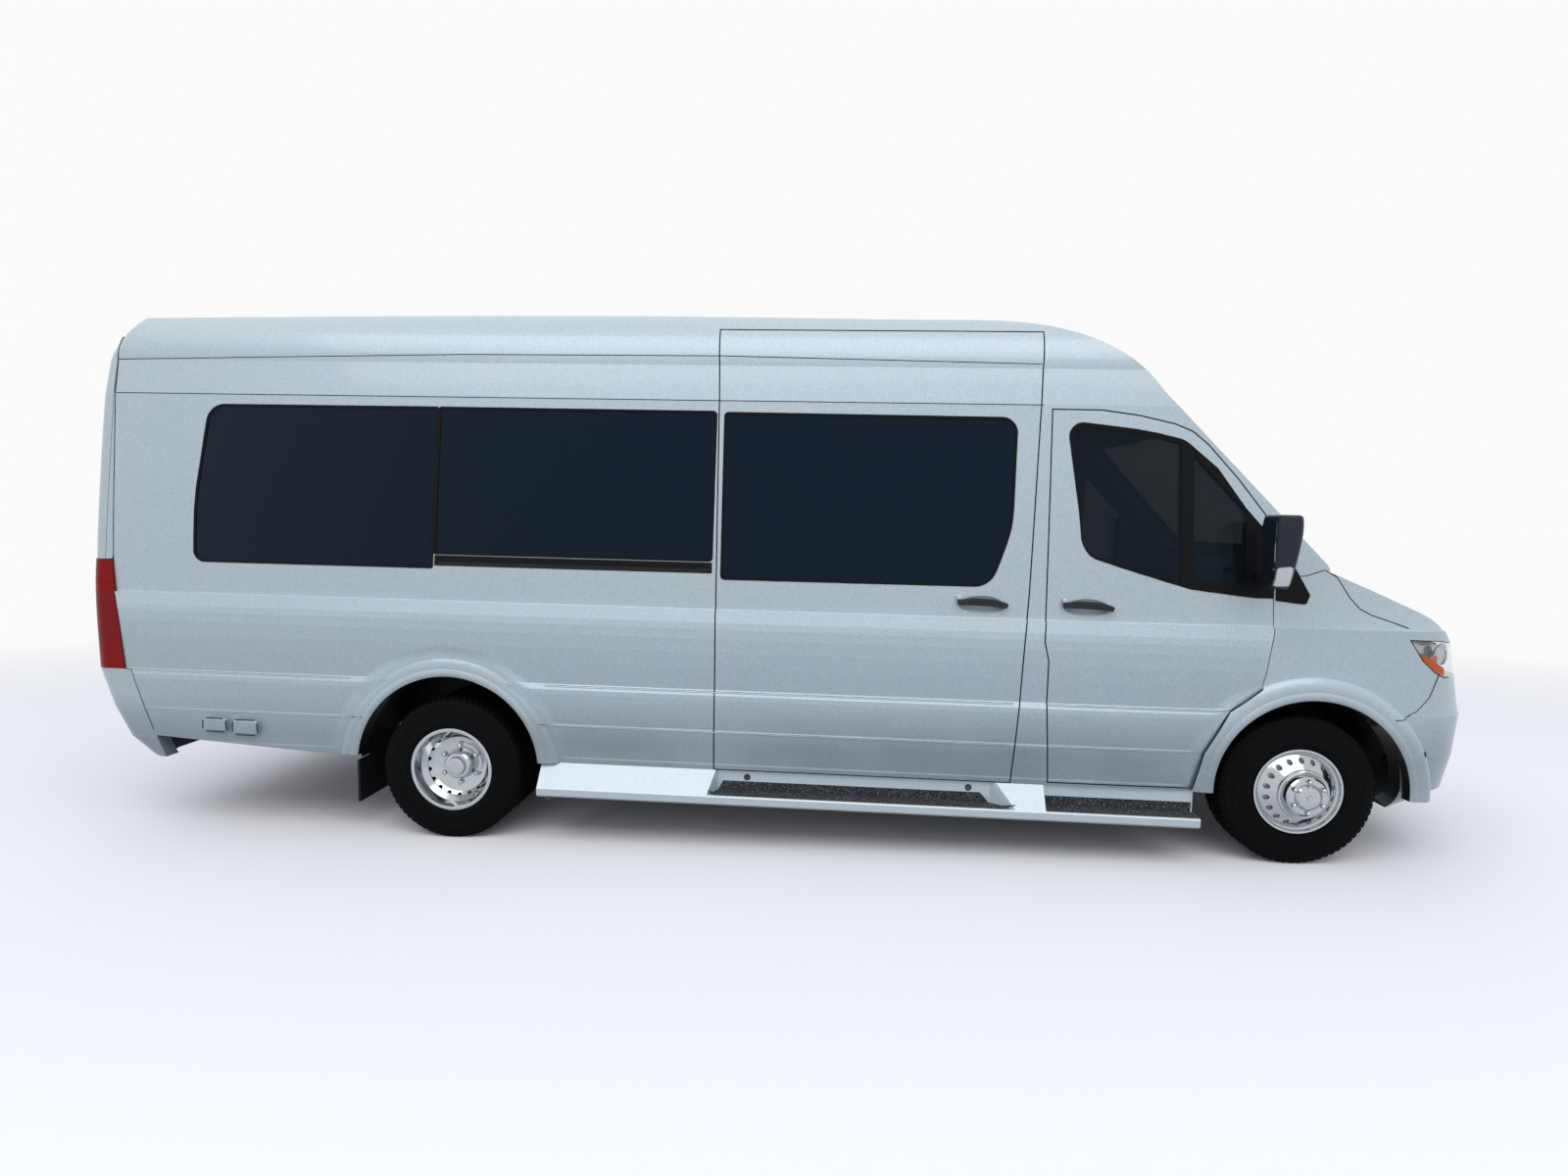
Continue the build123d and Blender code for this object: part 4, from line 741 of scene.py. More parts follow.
wheel_ring, given, result = tree_named(
    "copies_round_a_wheel", {"Count": "Int", "Centre": "Vector", "First Turn": "Float", "Finish": "Material"}
)
number = add(wheel_ring, "GeometryNodeInputIndex")
share = add(wheel_ring, "ShaderNodeMath", {0: math.tau, 1: given.outputs["Count"]}, operation="DIVIDE")
angle = add(
    wheel_ring, "ShaderNodeMath",
    {0: number.outputs["Index"], 1: share.outputs[0], 2: given.outputs["First Turn"]}, operation="MULTIPLY_ADD",
)
facing = add(wheel_ring, "ShaderNodeCombineXYZ", {"Y": angle.outputs[0]})
spun = add(wheel_ring, "FunctionNodeEulerToRotation", {"Euler": facing.outputs["Vector"]})
close_copies(wheel_ring, given, result, given.outputs["Centre"], Rotation=spun.outputs["Rotation"])

in_a_row, given, result = tree_named("copies_in_a_row", {"Count": "Int", "Step": "Vector", "Finish": "Material"})
number = add(in_a_row, "GeometryNodeInputIndex")
stride = add(
    in_a_row, "ShaderNodeVectorMath", {0: given.outputs["Step"], "Scale": number.outputs["Index"]}, operation="SCALE"
)
close_copies(in_a_row, given, result, stride.outputs["Vector"])
print("trees:", *(tree.name for tree in (bead_line, wheel_ring, in_a_row)))


# %% Running a tree
def grow(name, mesh, tree, look, body, **values):
    """Runs a tree on a mesh and keeps what it makes as a plain piece."""
    seed = new_object(name, mesh)
    run = seed.modifiers.new("nodes", "NODES")
    run.node_group = tree
    values["Finish"] = look
    for item in tree.interface.items_tree:
        word = item.name.replace(" ", "_")
        if item.in_out == "INPUT" and word in values:
            run[item.identifier] = values[word]
    seed.update_tag()
    done = bpy.data.meshes.new_from_object(seed.evaluated_get(bpy.context.evaluated_depsgraph_get()))
    bpy.data.objects.remove(seed)
    return keep(name, done, look, body)


# %% [markdown]
# ## Seams
# Where two panels meet, the real body has a gap of about 4 mm that reads as a thin dark line, and the fixed
# panels of the model meet closer than that. A dark bead, sunk to half its width, draws each one. Lines pressed
# into the sides catch the light along their lower edge, so they get a silver bead under a dark one, and that dark
# bead is a painted shadow in the seams' black.


# %% Beads along seams
RUN, BREAK = 18, 0.012


def lines_on(lay, lines, closed=False, sink=1.0):
    """Runs of points on the surface along these lines, broken where the surface ends or steps."""
    runs = []
    for line in lines:
        run = []
        ring = finer([Vector(c[:2]) for c in line], RUN, closed)
        for p in ring + (ring[:1] if closed else []):
            spot = lay(p)
            if spot is not None:
                spot = spot + lay.way * sink / 1000
            if spot is None or (run and abs((spot - run[-1]).dot(lay.way)) > BREAK):
                runs.append(run)
                run = []
            if spot is not None:
                run.append(spot)
        runs.append(run)
    return [r for r in runs if len(r) > 1]


def beads(name, runs, radius, look, body):
    """One piece of round beads along these runs of points; the radius is in millimetres."""
    spots = [p for run in runs for p in run]
    edges, first = [], 0
    for run in runs:
        edges += [(first + i, first + i + 1) for i in range(len(run) - 1)]
        first += len(run)
    mesh = bpy.data.meshes.new(name)
    mesh.from_pydata(spots, edges, [])
    return grow(name, mesh, bead_line, look, body, Radius=radius / 1000)


# %% Seams and shut lines
GUTTER = [(-3600, 2310), (-300, 2310), (1345, 2310)]
CREASE = [(-3625, 2494), (-1637, 2538), (-289, 2543), (1336, 2517)]
NOSE_SEAM = [
    (2490, 1488), (2641, 1492), (2736, 1524), (2798, 1488), (2858, 1390), (2902, 1340), (2960, 1309), (3067, 1275),
    (3136, 1250),
]
LAMP_RING = [(3136, 1195), (3300, 1190), (3500, 1160), (3560, 1150)]
LAMP_FOOT = [(3136, 1195), (3203, 1093), (3271, 1037), (3330, 1012), (3560, 1008)]
BUMPER_LINE = [(3293, 1027), (3245, 916), (3188, 846), (3128, 814), (3050, 811)]
TAIL_LINE = [
    (-3607, 2640), (-3600, 2310), (-3563, 1415), (-3480, 822), (-3445, 822), (-3427, 748), (-3394, 646), (-3345, 490),
]
SEAMS = [GUTTER, NOSE_SEAM, LAMP_RING, LAMP_FOOT, BUMPER_LINE, TAIL_LINE, CREASE]
SLIDING_DOOR = [
    (-270, 407), (-270, 820), (-277, 1416), (-291, 2331), (-306, 2690), (1350, 2690), (1334, 2303), (1296, 1355),
    (1283, 1156), (1267, 821), (1242, 407),
]
CAB_DOOR = [
    (1428, 420), (1399, 822), (1401, 1037), (1379, 1133), (1389, 2289), (1632, 2289), (1817, 2265), (1992, 2227),
    (2079, 2192), (2158, 2127), (2307, 1960), (2456, 1769), (2488, 1700), (2484, 1376), (2481, 1197), (2453, 1004),
    (2434, 936), (2285, 819), (2172, 610), (2127, 420),
]
for word, side in SIDES.items():
    doors = [CAB_DOOR] + ([SLIDING_DOOR] if side == RIGHT else [])
    beads(f"{word}_panel_seams", lines_on(bodyside[side], SEAMS), 2.3, seam_sealer_and_painted_shadow, "body")
    beads(f"{word}_door_seals", lines_on(bodyside[side], doors, closed=True, sink=5), 2.9, seam_sealer_and_painted_shadow, "body")

# %% [markdown]
# ## Pressed lines
# Two pressed lines run along the sides, one at bumper height and one at the sill. Each is a black bead, a painted
# shadow, with a bright silver bead as its edge beneath it. The lines stop short of the wheel arches and are broken
# at the doors.

# %% Pressed lines along the sides
LINES = [
    [(-3440, 822), (-2210, 822)], [(-1160, 822), (1236, 822)], [(-3380, 610), (-2150, 610)],
    [(-1200, 610), (1226, 610)],
]
DOOR_LINES = [[(1404, 822), (2278, 822)], [(1424, 610), (2166, 610)]]
for word, side in SIDES.items():
    # The dark shadow beads are painted shadow; the silver edge beads stand proud in the body's paint.
    for shade, look, radius, down in (("shadow", seam_sealer_and_painted_shadow, 1.6, 0), ("edge", silver, 3.2, -5)):
        for part, lines, body in (("", LINES, "body"), ("door_", DOOR_LINES, f"{word}_cab_door")):
            moved = [[(x, z + down) for x, z in line] for line in lines]
            beads(f"{word}_{part}pressed_{shade}", lines_on(bodyside[side], moved, sink=1.4), radius, look, body)

# %% [markdown]
# ## Window rubbers
# Each pane is bonded behind a black rubber frame that laps a few millimetres over glass and body. Neighbouring
# panes share a narrow body strip, so their frames touch there, as on the real van.

# %% Window outlines
REAR_WINDOWS = [
    [(-3100, 1416, 60), (-3108, 1740, 900), (-3054, 2250, 95), (-1783, 2252, 8), (-1783, 1416, 8)],
    [(-1771, 1490, 8), (-1771, 2252, 8), (-305, 2250, 16), (-305, 1490, 16)],
]
SLIDING_WINDOW = [(-256, 2246, 16), (1216, 2240, 72), (1202, 1690, 600), (1100, 1403, 110), (-250, 1401, 16)]
LEFT_WINDOW = [(-293, 1490, 16), (-293, 2250, 16), (1180, 2245, 80), (1180, 1490, 60)]
DOOR_WINDOW = [
    (1484, 2214, 66), (1860, 2172, 900), (2029, 2130, 8), (2029, 1430, 8), (1790, 1500, 700), (1548, 1582, 110),
]
QUARTER_WINDOW = [(2081, 2084, 8), (2352, 1800, 30), (2352, 1440, 30), (2081, 1440, 8)]
WINDSCREEN = [(-800, 1575, 50), (-728, 2300, 70), (728, 2300, 70), (800, 1575, 50)]
REAR_DOOR_WINDOW = [(-768, 1450, 60), (-704, 2160, 80), (-130, 2180, 40), (-130, 1450, 40)]
SLIDE_RAIL = [(-1770, 1425), (-1770, 1479), (-301, 1479), (-301, 1425)]
RUBBER_OUT, RUBBER_IN = 7, -6


def frame_of(outline, out=RUBBER_OUT, into=RUBBER_IN):
    """The two rings of a frame round a pane."""
    ring = rounded(outline)
    return [grown(ring, out), grown(ring, into)]


# %% Window rubbers and the slide rail
for word, side in SIDES.items():
    panes = REAR_WINDOWS + ([SLIDING_WINDOW] if side == RIGHT else [LEFT_WINDOW])
    plates(f"{word}_window_borders", [(frame_of(w), bodyside[side]) for w in panes], window_border, "body")
    tail_frame = frame_of(mirrored(REAR_DOOR_WINDOW, -side))
    plates(f"{word}_rear_window_rubber", [(tail_frame, tail_face)], black_rubber, f"{word}_rear_door")
plates("sliding_door_rail", [patch(SLIDE_RAIL, bodyside[RIGHT])], black_plastic, "body", thick=1.2)
plates("windscreen_border", [(frame_of(WINDSCREEN, 6, -52), screen)], window_border, "body", thick=1.2)

# %% [markdown]
# ## The cab door's black surround
# A wide matt-black gasket fills the door above its waist. It frames the drop glass and the small quarter pane,
# with a divider bar between them, and runs on as a pointed tip over the root of the screen pillar.

# %% Cab door surround
SURROUND = [
    (1460, 2236, 70), (1856, 2192, 900), (2040, 2150, 120), (2204, 2012), (2344, 1819), (2444, 1707), (2480, 1660),
    (2480, 1378), (2386, 1379), (2077, 1413), (1780, 1498, 700), (1560, 1565, 110),
]
TIP = [(2492, 1652), (2553, 1594), (2661, 1399, 18), (2640, 1352, 18), (2492, 1368)]
for word, side in SIDES.items():
    rings = [rounded(SURROUND), grown(rounded(DOOR_WINDOW), -5), grown(rounded(QUARTER_WINDOW), -5)]
    plates(f"{word}_cab_door_surround", [(rings, bodyside[side])], black_rubber, f"{word}_cab_door", thick=2.0)
    plates(f"{word}_pillar_tip", [patch(TIP, bodyside[side])], black_rubber, "body", thick=2.0, step=25)

# %% [markdown]
# ## Door grips
# A dark grip bridges each bowl in the doors. It swells from a thin end, beside a bright lock cap, to a rounded
# hand end, and is a close cover over the grip of the CAD door.

# %% Grips and lock caps
HANDLE_Z, HANDLE_WALL = 1311, 971


def grip_outline(x0, x1):
    """A grip from its thin end to its hand end."""
    z = HANDLE_Z
    return [
        (x0 + 1, z - 5, 7), (x0 + 6, z + 20, 9), (x0 + 80, z + 32, 60), (x0 + 190, z + 28, 60), (x1 - 2, z + 5, 9),
        (x1 - 13, z - 18, 6), (x1 - 60, z - 10, 60), (x0 + 70, z - 6, 90),
    ]


for word, side in SIDES.items():
    grips = [(f"{word}_cab_door_grip", 1454, 1711, f"{word}_cab_door")]
    grips += [("sliding_door_grip", 939, 1197, "body")] if side == RIGHT else []
    for name, x0, x1, body in grips:
        near, far = side * (HANDLE_WALL + 28.5), side * (HANDLE_WALL + 8)
        low, high = HANDLE_Z + 21, HANDLE_Z + 41
        cap = [(x0 - 2, low, 9), (x0 - 2, high, 9), (x0 + 24, high, 9), (x0 + 24, low, 9)]
        pressed(name, [grip_outline(x0, x1)], near, far, grip_plastic, body, 4.5)
        pressed(name.replace("grip", "lock_cap"), [cap], near - side * 8, far - side * 18, chrome, body, 2.5)

# %% [markdown]
# ## Tyres
# The CAD tyres are plain rings, so each is replaced by a carcass turned from a full section, with a rim cushion,
# a wear band and sunken grooves, and tread blocks set round it in staggered rows. The section is given as
# (distance outboard, radius) in millimetres, and the wheels' centres are those of the frame's free joints.

# %% Tyre sizes
TYRE = [
    (-84, 208), (-96, 212), (-104, 222), (-107, 240), (-108, 262), (-107.5, 292), (-104, 318), (-99, 340), (-92, 357),
    (-87, 366), (-66, 366), (-66, 359), (-58, 359), (-58, 368), (-26, 369), (-26, 360), (-18, 360), (-18, 369.5),
    (18, 369.5), (18, 360), (26, 360), (26, 369), (58, 368), (58, 359), (66, 359), (66, 366), (87, 366), (92, 357),
    (95, 352), (98, 351), (99, 346), (103, 326), (105, 318), (107.5, 316), (107.5, 306), (106, 304), (107.3, 284),
    (107.3, 262), (108, 260), (108, 246), (106.5, 244), (105, 226), (101, 224), (98, 214), (92, 209), (84, 208),
]
BLOCK_ROWS = ((76, 20, 0.0), (42, 30, 0.5), (0, 34, 0.0), (-42, 30, 0.5), (-76, 20, 0.0))
BLOCKS, BLOCK_FOOT, BLOCK_TOP = 68, 366, 375.6
SHOULDER, SHOULDER_DROP = 80, 3.0
TWINS = (0.123, -0.123)
WHEELS = {j["child"]: Vector(j["pos_m"]) for j in frame["joints"] if j.get("continuous")}
TYRES = {
    "front_right_tyre": ("front_right_wheel", RIGHT, (0.0,)),
    "front_left_tyre": ("front_left_wheel", LEFT, (0.0,)),
    "rear_right_tyres": ("rear_right_wheels", RIGHT, TWINS),
    "rear_left_tyres": ("rear_left_wheels", LEFT, TWINS),
}
print("wheels:", {body: tuple(round(v, 4) for v in centre) for body, centre in WHEELS.items()})


# %% Tread blocks and carcasses
def carcass(name, centre, outward):
    """A tyre's carcass about this centre, its outer wall toward outward."""
    rings = []
    for out, radius in TYRE:
        rings.append([centre + Vector((x, outward * out, z)) / 1000 for x, z in circle(0, 0, radius, 120)])
    return lofted(name, [rings], closed=True, smooth=35)


def tread_block(middle, width, side, shift):
    """One row's tread block at the top of a wheel, about the wheel's centre; its ends slant across the row."""
    rings = []
    for radius in (BLOCK_FOOT, BLOCK_TOP):
        ring = []
        for edge, end in ((-1, -1), (-1, 1), (1, 1), (1, -1)):
            out = middle + edge * width / 2
            a = (0.36 * end + 0.12 * edge + shift) * math.tau / BLOCKS
            r = radius - (SHOULDER_DROP if abs(out) > SHOULDER else 0)
            ring.append(Vector((r * math.sin(a), side * out, r * math.cos(a))) / 1000)
        rings.append(ring)
    return lofted("tread_block", [rings])


for node, (body, side, offsets) in TYRES.items():
    for number, offset in enumerate(offsets, 1):
        centre = WHEELS[body] + Vector((0, side * offset, 0))
        name = f"{body}_carcass_{number}"
        tyre = keep(name, carcass(name, centre, side if number == 1 else -side), tyre_rubber, body)
        if number == 1:
            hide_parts(node)
        for row, (middle, width, shift) in enumerate(BLOCK_ROWS, 1):
            grow(
                f"{body}_tread_{number}_{row}", tread_block(middle, width, side, shift), wheel_ring, tyre_rubber, body,
                Count=BLOCKS, Centre=centre, First_Turn=0.0,
            )
print(BLOCKS * len(BLOCK_ROWS), "blocks on each tyre")

# %% [markdown]
# ## Wheel nuts
# Each stud carries a domed hexagon nut, six to a wheel.

# %% Nuts on the studs
NUTS = {"front": (78, 180, 13, 24), "rear": (101, 113, 15, 22)}


def nut(side, radius, out, size, height):
    """A hexagon nut with a domed end, on a stud at this radius, about the wheel's centre."""
    rings = []
    for reach, scale in ((0, 1.0), (height * 0.62, 1.0), (height * 0.86, 0.78), (height, 0.42)):
        corners = circle(radius, 0, size * scale, 6)
        rings.append([Vector((x, side * (out + reach), z)) / 1000 for x, z in corners])
    return lofted("nut", [rings])


for body, side, _ in TYRES.values():
    shape = nut(side, *NUTS[body.split("_")[0]])
    grow(
        f"{body}_nuts", shape, wheel_ring, chrome, body, Count=6, Centre=WHEELS[body], First_Turn=-math.pi / 6,
    )

# %% [markdown]
# ## Headlamps
# The real lamp is a clear lens over a dark housing that holds two bright bowls and an amber flasher. The CAD lamp
# is a solid of that shape. Its outer faces become the lens, the same faces moved inward become the housing, and
# the bowls are turned between the two.


# %% Lens and housing from the CAD lamp
LAMP_HEART = (2600, 300, 1060)


def lamp_skin(name, side, inward, look, thick):
    """The faces of one headlamp that look out, each point moved inward by some millimetres, as a thin shell."""
    x, y, z = LAMP_HEART
    heart = place(x, side * y, z)
    bm = bmesh.new()
    bm.from_mesh(nodes["headlamps"].data)
    bmesh.ops.remove_doubles(bm, verts=bm.verts, dist=1e-5)
    drop = []
    for f in bm.faces:
        spot = f.calc_center_median()
        if spot.y * side < 0 or f.normal.dot((spot - heart).normalized()) < 0.5:
            drop.append(f)
    bmesh.ops.delete(bm, geom=drop, context="FACES")
    drop_loose(bm)
    bm.normal_update()
    for v in bm.verts:
        v.co -= v.normal * inward / 1000
    return thickened(keep(name, mesh_of(bm, name, outward=False, smooth=180), look, "body"), thick, -1)


lamp_shell = metal("vacuum_metallised_lamp_shell", "a9afb4", 0.28)
for word, side in SIDES.items():
    shell = lamp_skin(f"{word}_headlamp_lens", side, 0, clear_lens, 3)
    lamp_skin(f"{word}_headlamp_housing", side, 55, lamp_shell, 2)
    if side == RIGHT:
        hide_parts("headlamps")


# %% Bowls and flashers
def bowl_at(spot, toward, radius, depth, rim=5.0):
    """The rings of a parabolic bowl with a rolled rim, open toward a direction; its sizes are in millimetres."""
    turn = toward.to_track_quat("Z", "Y").to_matrix()
    section = [(radius * t, -depth * (1 - t * t)) for t in (0.08, 0.2, 0.4, 0.6, 0.8, 1.0)]
    section += [
        (radius + rim, 1.5), (radius + rim + 2, -2), (radius + rim, -6), (radius * 0.8, -depth * 0.36 - 7),
        (radius * 0.2, -depth - 6),
    ]
    return [[spot + turn @ Vector((x, y, h)) / 1000 for x, y in circle(0, 0, r, 48)] for r, h in section]


AMBER = [(3190, 1112, 5), (3206, 1121, 7), (3322, 1058, 10), (3326, 1020, 4), (3272, 1041, 6), (3206, 1094, 5)]
for word, side in SIDES.items():
    outward, onward = heading(0.55, side * 0.83, 0).normalized(), heading(0.96, side * 0.28, 0).normalized()
    bowls = [bowl_at(bodyside[side]((3352, 1120)) - outward * 0.03, outward, 45, 24)]
    for y, z, radius in ((690, 1098, 52), (560, 1085, 42)):
        bowls.append(bowl_at(front_face((side * y, z)) - onward * 0.024, onward, radius, 26))
    flasher = [bowl_at(bodyside[side]((3292, 1092)) - outward * 0.02, outward, 26, 14, 3)]
    for part, forms, look in (("bowls", bowls, chrome), ("flasher", flasher, amber_lens)):
        name = f"{word}_headlamp_{part}"
        keep(name, lofted(name, forms, closed=True, smooth=180), look, "body")
    plates(f"{word}_amber_window", [patch(AMBER, bodyside[side])], amber_lens, "body", 1.2, 14)

# %% [markdown]
# ## Mirrors
# Each mirror head holds a large flat glass over a small wide-angle one on its rear face, and a clear flasher lens
# wraps its lower outer side.

# %% Mirror glasses and flasher lenses
MIRRORS = [
    [(1026, 1556, 16), (1022, 1756, 26), (1150, 1756, 26), (1144, 1556, 16)],
    [(1034, 1462, 14), (1028, 1538, 14), (1138, 1538, 14), (1124, 1462, 14)],
]
FLASHER = [(2376, 1452, 10), (2372, 1538, 12), (2440, 1546, 14), (2436, 1456, 12)]
for word, side in SIDES.items():
    head, door = f"{word}_mirror", f"{word}_cab_door"
    rear, outer = onto(head, lambda y, z: (2200, y, z), (1, 0, 0)), on_side(head, side)
    plates(f"{head}_glasses", [patch(mirrored(o, side), rear) for o in MIRRORS], mirror_glass, door, 1.5, 20)
    plates(f"{head}_flasher", [patch(FLASHER, outer)], chrome, door, 1.5, 16)
    plates(f"{head}_flasher_lens", [patch(FLASHER, outer, 4)], clear_lens, door, 4.5, 16)

# %% [markdown]
# ## Running boards
# Each step has two rubber mats faced with grit, let into its treads, with a strip of the same up the riser, and
# two small courtesy lamps above that.

# %% Mats and courtesy lamps
BOARD_TOP, KICK = 294, 344
MATS = [[(-290, 1052), (1262, 1052), (1140, 966), (-248, 966)], [(1416, 1052), (2144, 1052), (2144, 966), (1416, 966)]]
KICKS = [
    [(-246, BOARD_TOP + 3), (-222, KICK), (1100, KICK), (1142, BOARD_TOP + 3)],
    [(1418, BOARD_TOP + 3), (1418, KICK), (2142, KICK), (2142, BOARD_TOP + 3)],
]
RISER, COURTESY = 958, ((-97, 367), (1040, 367))
for word, side in SIDES.items():
    above_step = onto("running_boards", lambda x, y: (x, y, 340), (0, 0, -1))
    mats = [patch([(x, side * y) for x, y in mat], above_step) for mat in MATS]
    plates(f"{word}_step_mats", mats, grit, "body", 3.0, 80)
    pressed(f"{word}_step_kick_strips", KICKS, side * 966, side * RISER, grit, "body", 1.5)
    for part, radius, out, look in (("rims", 17, 964.5, black_plastic), ("lenses", 12, 966, clear_lens)):
        rounds = [circle(*spot, radius, 20) for spot in COURTESY]
        pressed(f"{word}_courtesy_lamp_{part}", rounds, side * out, side * RISER, look, "body", 1)

# %% [markdown]
# ## Grille, sensors and small lamps
# Chrome blades lie across the louvres of the grille, round parking sensors sit flush in both bumpers, clear end
# lamps wrap the rear bumper, and a red brake lamp sits high above the tail doors.

# %% Grille blades
BLADES, BLADE_HALF, BLADE_DEEP, BLADE_TALL = (953, 997, 1041, 1085), 384, 7, 10
BLADE_SECTION = ((1, 0.7), (1, -0.7), (0.3, -1), (-1, -1), (-1, 1), (0.3, 1))
for number, z in enumerate(BLADES, 1):
    out, up = heading(BLADE_DEEP / 2, 0, 0), heading(0, 0, BLADE_TALL / 2)
    rings = []
    for k in range(25):
        spot = front_face((BLADE_HALF * (k / 12 - 1), z))
        rings.append([spot + a * out + b * up for a, b in BLADE_SECTION])
    name = f"grille_blade_{number}"
    keep(name, lofted(name, [rings], smooth=40), chrome, "body")

# %% Sensors and small lamps
SENSORS = (
    ("front_sensors", front_face, 11, ((-700, 640), (-330, 590), (330, 590), (700, 640))),
    ("rear_sensors", tail_face, 11, ((-760, 560), (-300, 560), (300, 560), (760, 560))),
    ("right_side_sensor", bodyside[RIGHT], 14, ((3227, 646),)),
    ("left_side_sensor", bodyside[LEFT], 14, ((3227, 646),)),
)
for name, lay, radius, spots in SENSORS:
    plates(name, [patch(circle(*spot, radius, 24), lay) for spot in spots], black_plastic, "body", 1.5, 12)
END_LAMP = [(-3690, 742, 8), (-3692, 812, 8), (-3656, 812, 8), (-3652, 742, 8)]
for word, side in SIDES.items():
    plates(f"{word}_bumper_lamp", [patch(END_LAMP, bodyside[side])], clear_lens, "body", 3, 15)
BRAKE_LAMP = [(-170, 2668, 10), (-170, 2696, 10), (170, 2696, 10), (170, 2668, 10)]
plates("high_brake_lamp", [patch(BRAKE_LAMP, tail_face)], red_lens, "body", 8, 20)

# %% [markdown]
# ## Inlet covers
# Two small body-coloured covers stand on the right rear quarter. A dark rubber line shows round each.

# %% Lines round the inlet covers
INLETS = [
    [(-3037, 504), (-3037, 572), (-2913, 571), (-2909, 502)], [(-2871, 490), (-2871, 567), (-2738, 567), (-2734, 491)],
]
outlines = [grown(rounded(inlet), 3) for inlet in INLETS]
beads("inlet_cover_seals", lines_on(bodyside[RIGHT], outlines, closed=True), 2.4, seam_sealer_and_painted_shadow, "body")

# %% [markdown]
# ## Seats
# The cab has two single seats and the cabin has benches. Each is a foam cushion, a leaning back and head rests in
# one woven cloth. A pad is a closed form whose faces crown outward and whose sides pull in between the corners,
# with sewn channels pressed into its front. It starts as a fine box and each point is moved by that rule, which
# is quick and gives the same result each time.


# %% Padded forms
def fine_box(cuts):
    """The points and faces of a two-unit box with this many cuts each way."""
    bm = bmesh.new()
    bmesh.ops.create_cube(bm, size=2.0)
    bmesh.ops.subdivide_edges(bm, edges=bm.edges[:], cuts=cuts, use_grid_fill=True)
    bmesh.ops.recalc_face_normals(bm, faces=bm.faces)
    bm.verts.index_update()
    made = [tuple(v.co) for v in bm.verts], [tuple(v.index for v in f.verts) for f in bm.faces]
    bm.free()
    return made


BOX_POINTS, BOX_FACES = fine_box(13)
PULL = 0.05


def pad(middle, size, turn, channels, crown=0.16):
    """One padded form's points: middle and size in millimetres of the level body, turned back by an angle."""
    lean = Matrix.Rotation(turn, 3, "Y")
    points = []
    for a, b, c in BOX_POINTS:
        corner = 1 - 0.055 * max(0, abs(a) ** 6 + abs(b) ** 6 + abs(c) ** 6 - 1)
        u = a * (1 - PULL * (1 - b * b)) * corner
        v = b * (1 - PULL * (1 - a * a)) * corner
        w = c * (1 - crown + crown * (1 - a ** 4) * (1 - b ** 4)) * corner
        for axis, line in channels:
            w -= (0.13 if c > 0 else 0) * math.exp(-((((a, b)[axis] - line) / 0.06) ** 2))
        points.append(BODY @ (Vector(middle) + lean @ Vector((u * size[0] / 2, v * size[1] / 2, w * size[2] / 2))))
    return points


# %% Seat pads
SEAT_PLACES = [("driver", 1640, 430, 520), ("co_driver", 1640, -430, 520)]
SEAT_PLACES += [(f"bench_{i}", x, 430, 820) for i, x in enumerate((-2900, -900, 0), 1)]
SEAT_PLACES += [(f"single_{i}", x, -620, 430) for i, x in enumerate((-2900, -900), 1)]
FLOOR = 640
TIPPED, SEWN = math.radians(-98), [(1, -0.62), (1, 0.62)]
for name, x, y, width in SEAT_PLACES:
    places = 2 if width > 600 else 1
    part = width / places
    spots, faces = [], []
    for k in range(places):
        at = y - width / 2 + part * (k + 0.5)
        for form in (
            pad((x + 222, at, FLOOR + 385), (480, part - 6, 150), 0, [*SEWN, (0, 0.1)]),
            pad((x - 38, at, FLOOR + 690), (530, part - 16, 118), TIPPED, [*SEWN, (0, -0.35)]),
            pad((x - 92, at, FLOOR + 1005), (130, min(part, 300) - 20, 95), TIPPED, [], 0.3),
        ):
            faces += [tuple(len(spots) + i for i in f) for f in BOX_FACES]
            spots += form
    mesh = bpy.data.meshes.new(f"seat_{name}")
    mesh.from_pydata(spots, [], faces)
    mesh.shade_smooth()
    seat = keep(f"seat_{name}", mesh, seat_cloth, "body")
    if name == "driver":
        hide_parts("seats")
print("seats:", len(SEAT_PLACES))

# %% Seat frames
for number, (_, x, y, width) in enumerate(SEAT_PLACES, 1):
    foot = [(x + 20, FLOOR + 1, 6), (x + 60, FLOOR + 305, 12), (x + 420, FLOOR + 305, 12), (x + 440, FLOOR + 1, 6)]
    pressed(f"seat_frame_{number}", [foot], y - width / 2 + 50, y + width / 2 - 50, grey_trim, "body", 6)

# %% [markdown]
# ## Dashboard
# A hooded instrument cowl and the blades of an air outlet break up the moulding behind the windscreen.

# %% Instrument cowl and air outlet
COWL = [(2300, 1340, 20), (2300, 1450, 40), (2440, 1462, 30), (2480, 1400, 20)]
pressed("instrument_cowl", [COWL], 260, 600, grey_trim, "body", 12)
blade = [[place(x, y, z) for y, z in ((-60, 1296), (60, 1296), (60, 1300), (-60, 1300))] for x in (2262, 2278)]
grow(
    "dash_air_outlet", lofted("vent_blade", [blade]), in_a_row, black_plastic, "body",
    Count=6, Step=heading(-1.8, 0, -9.5),
)

# %% [markdown]
# ## Floor and light
# A pale floor and one very large soft light overhead, with an even pale sky. The camera, and whatever mirrors
# the room, see floor and sky as nearly white, while the light that they throw on the van is dimmer, so that the
# sides darken toward the sills as they do outdoors under a bright sky.

# %% Floor
SKY_SEEN = "fafafa"


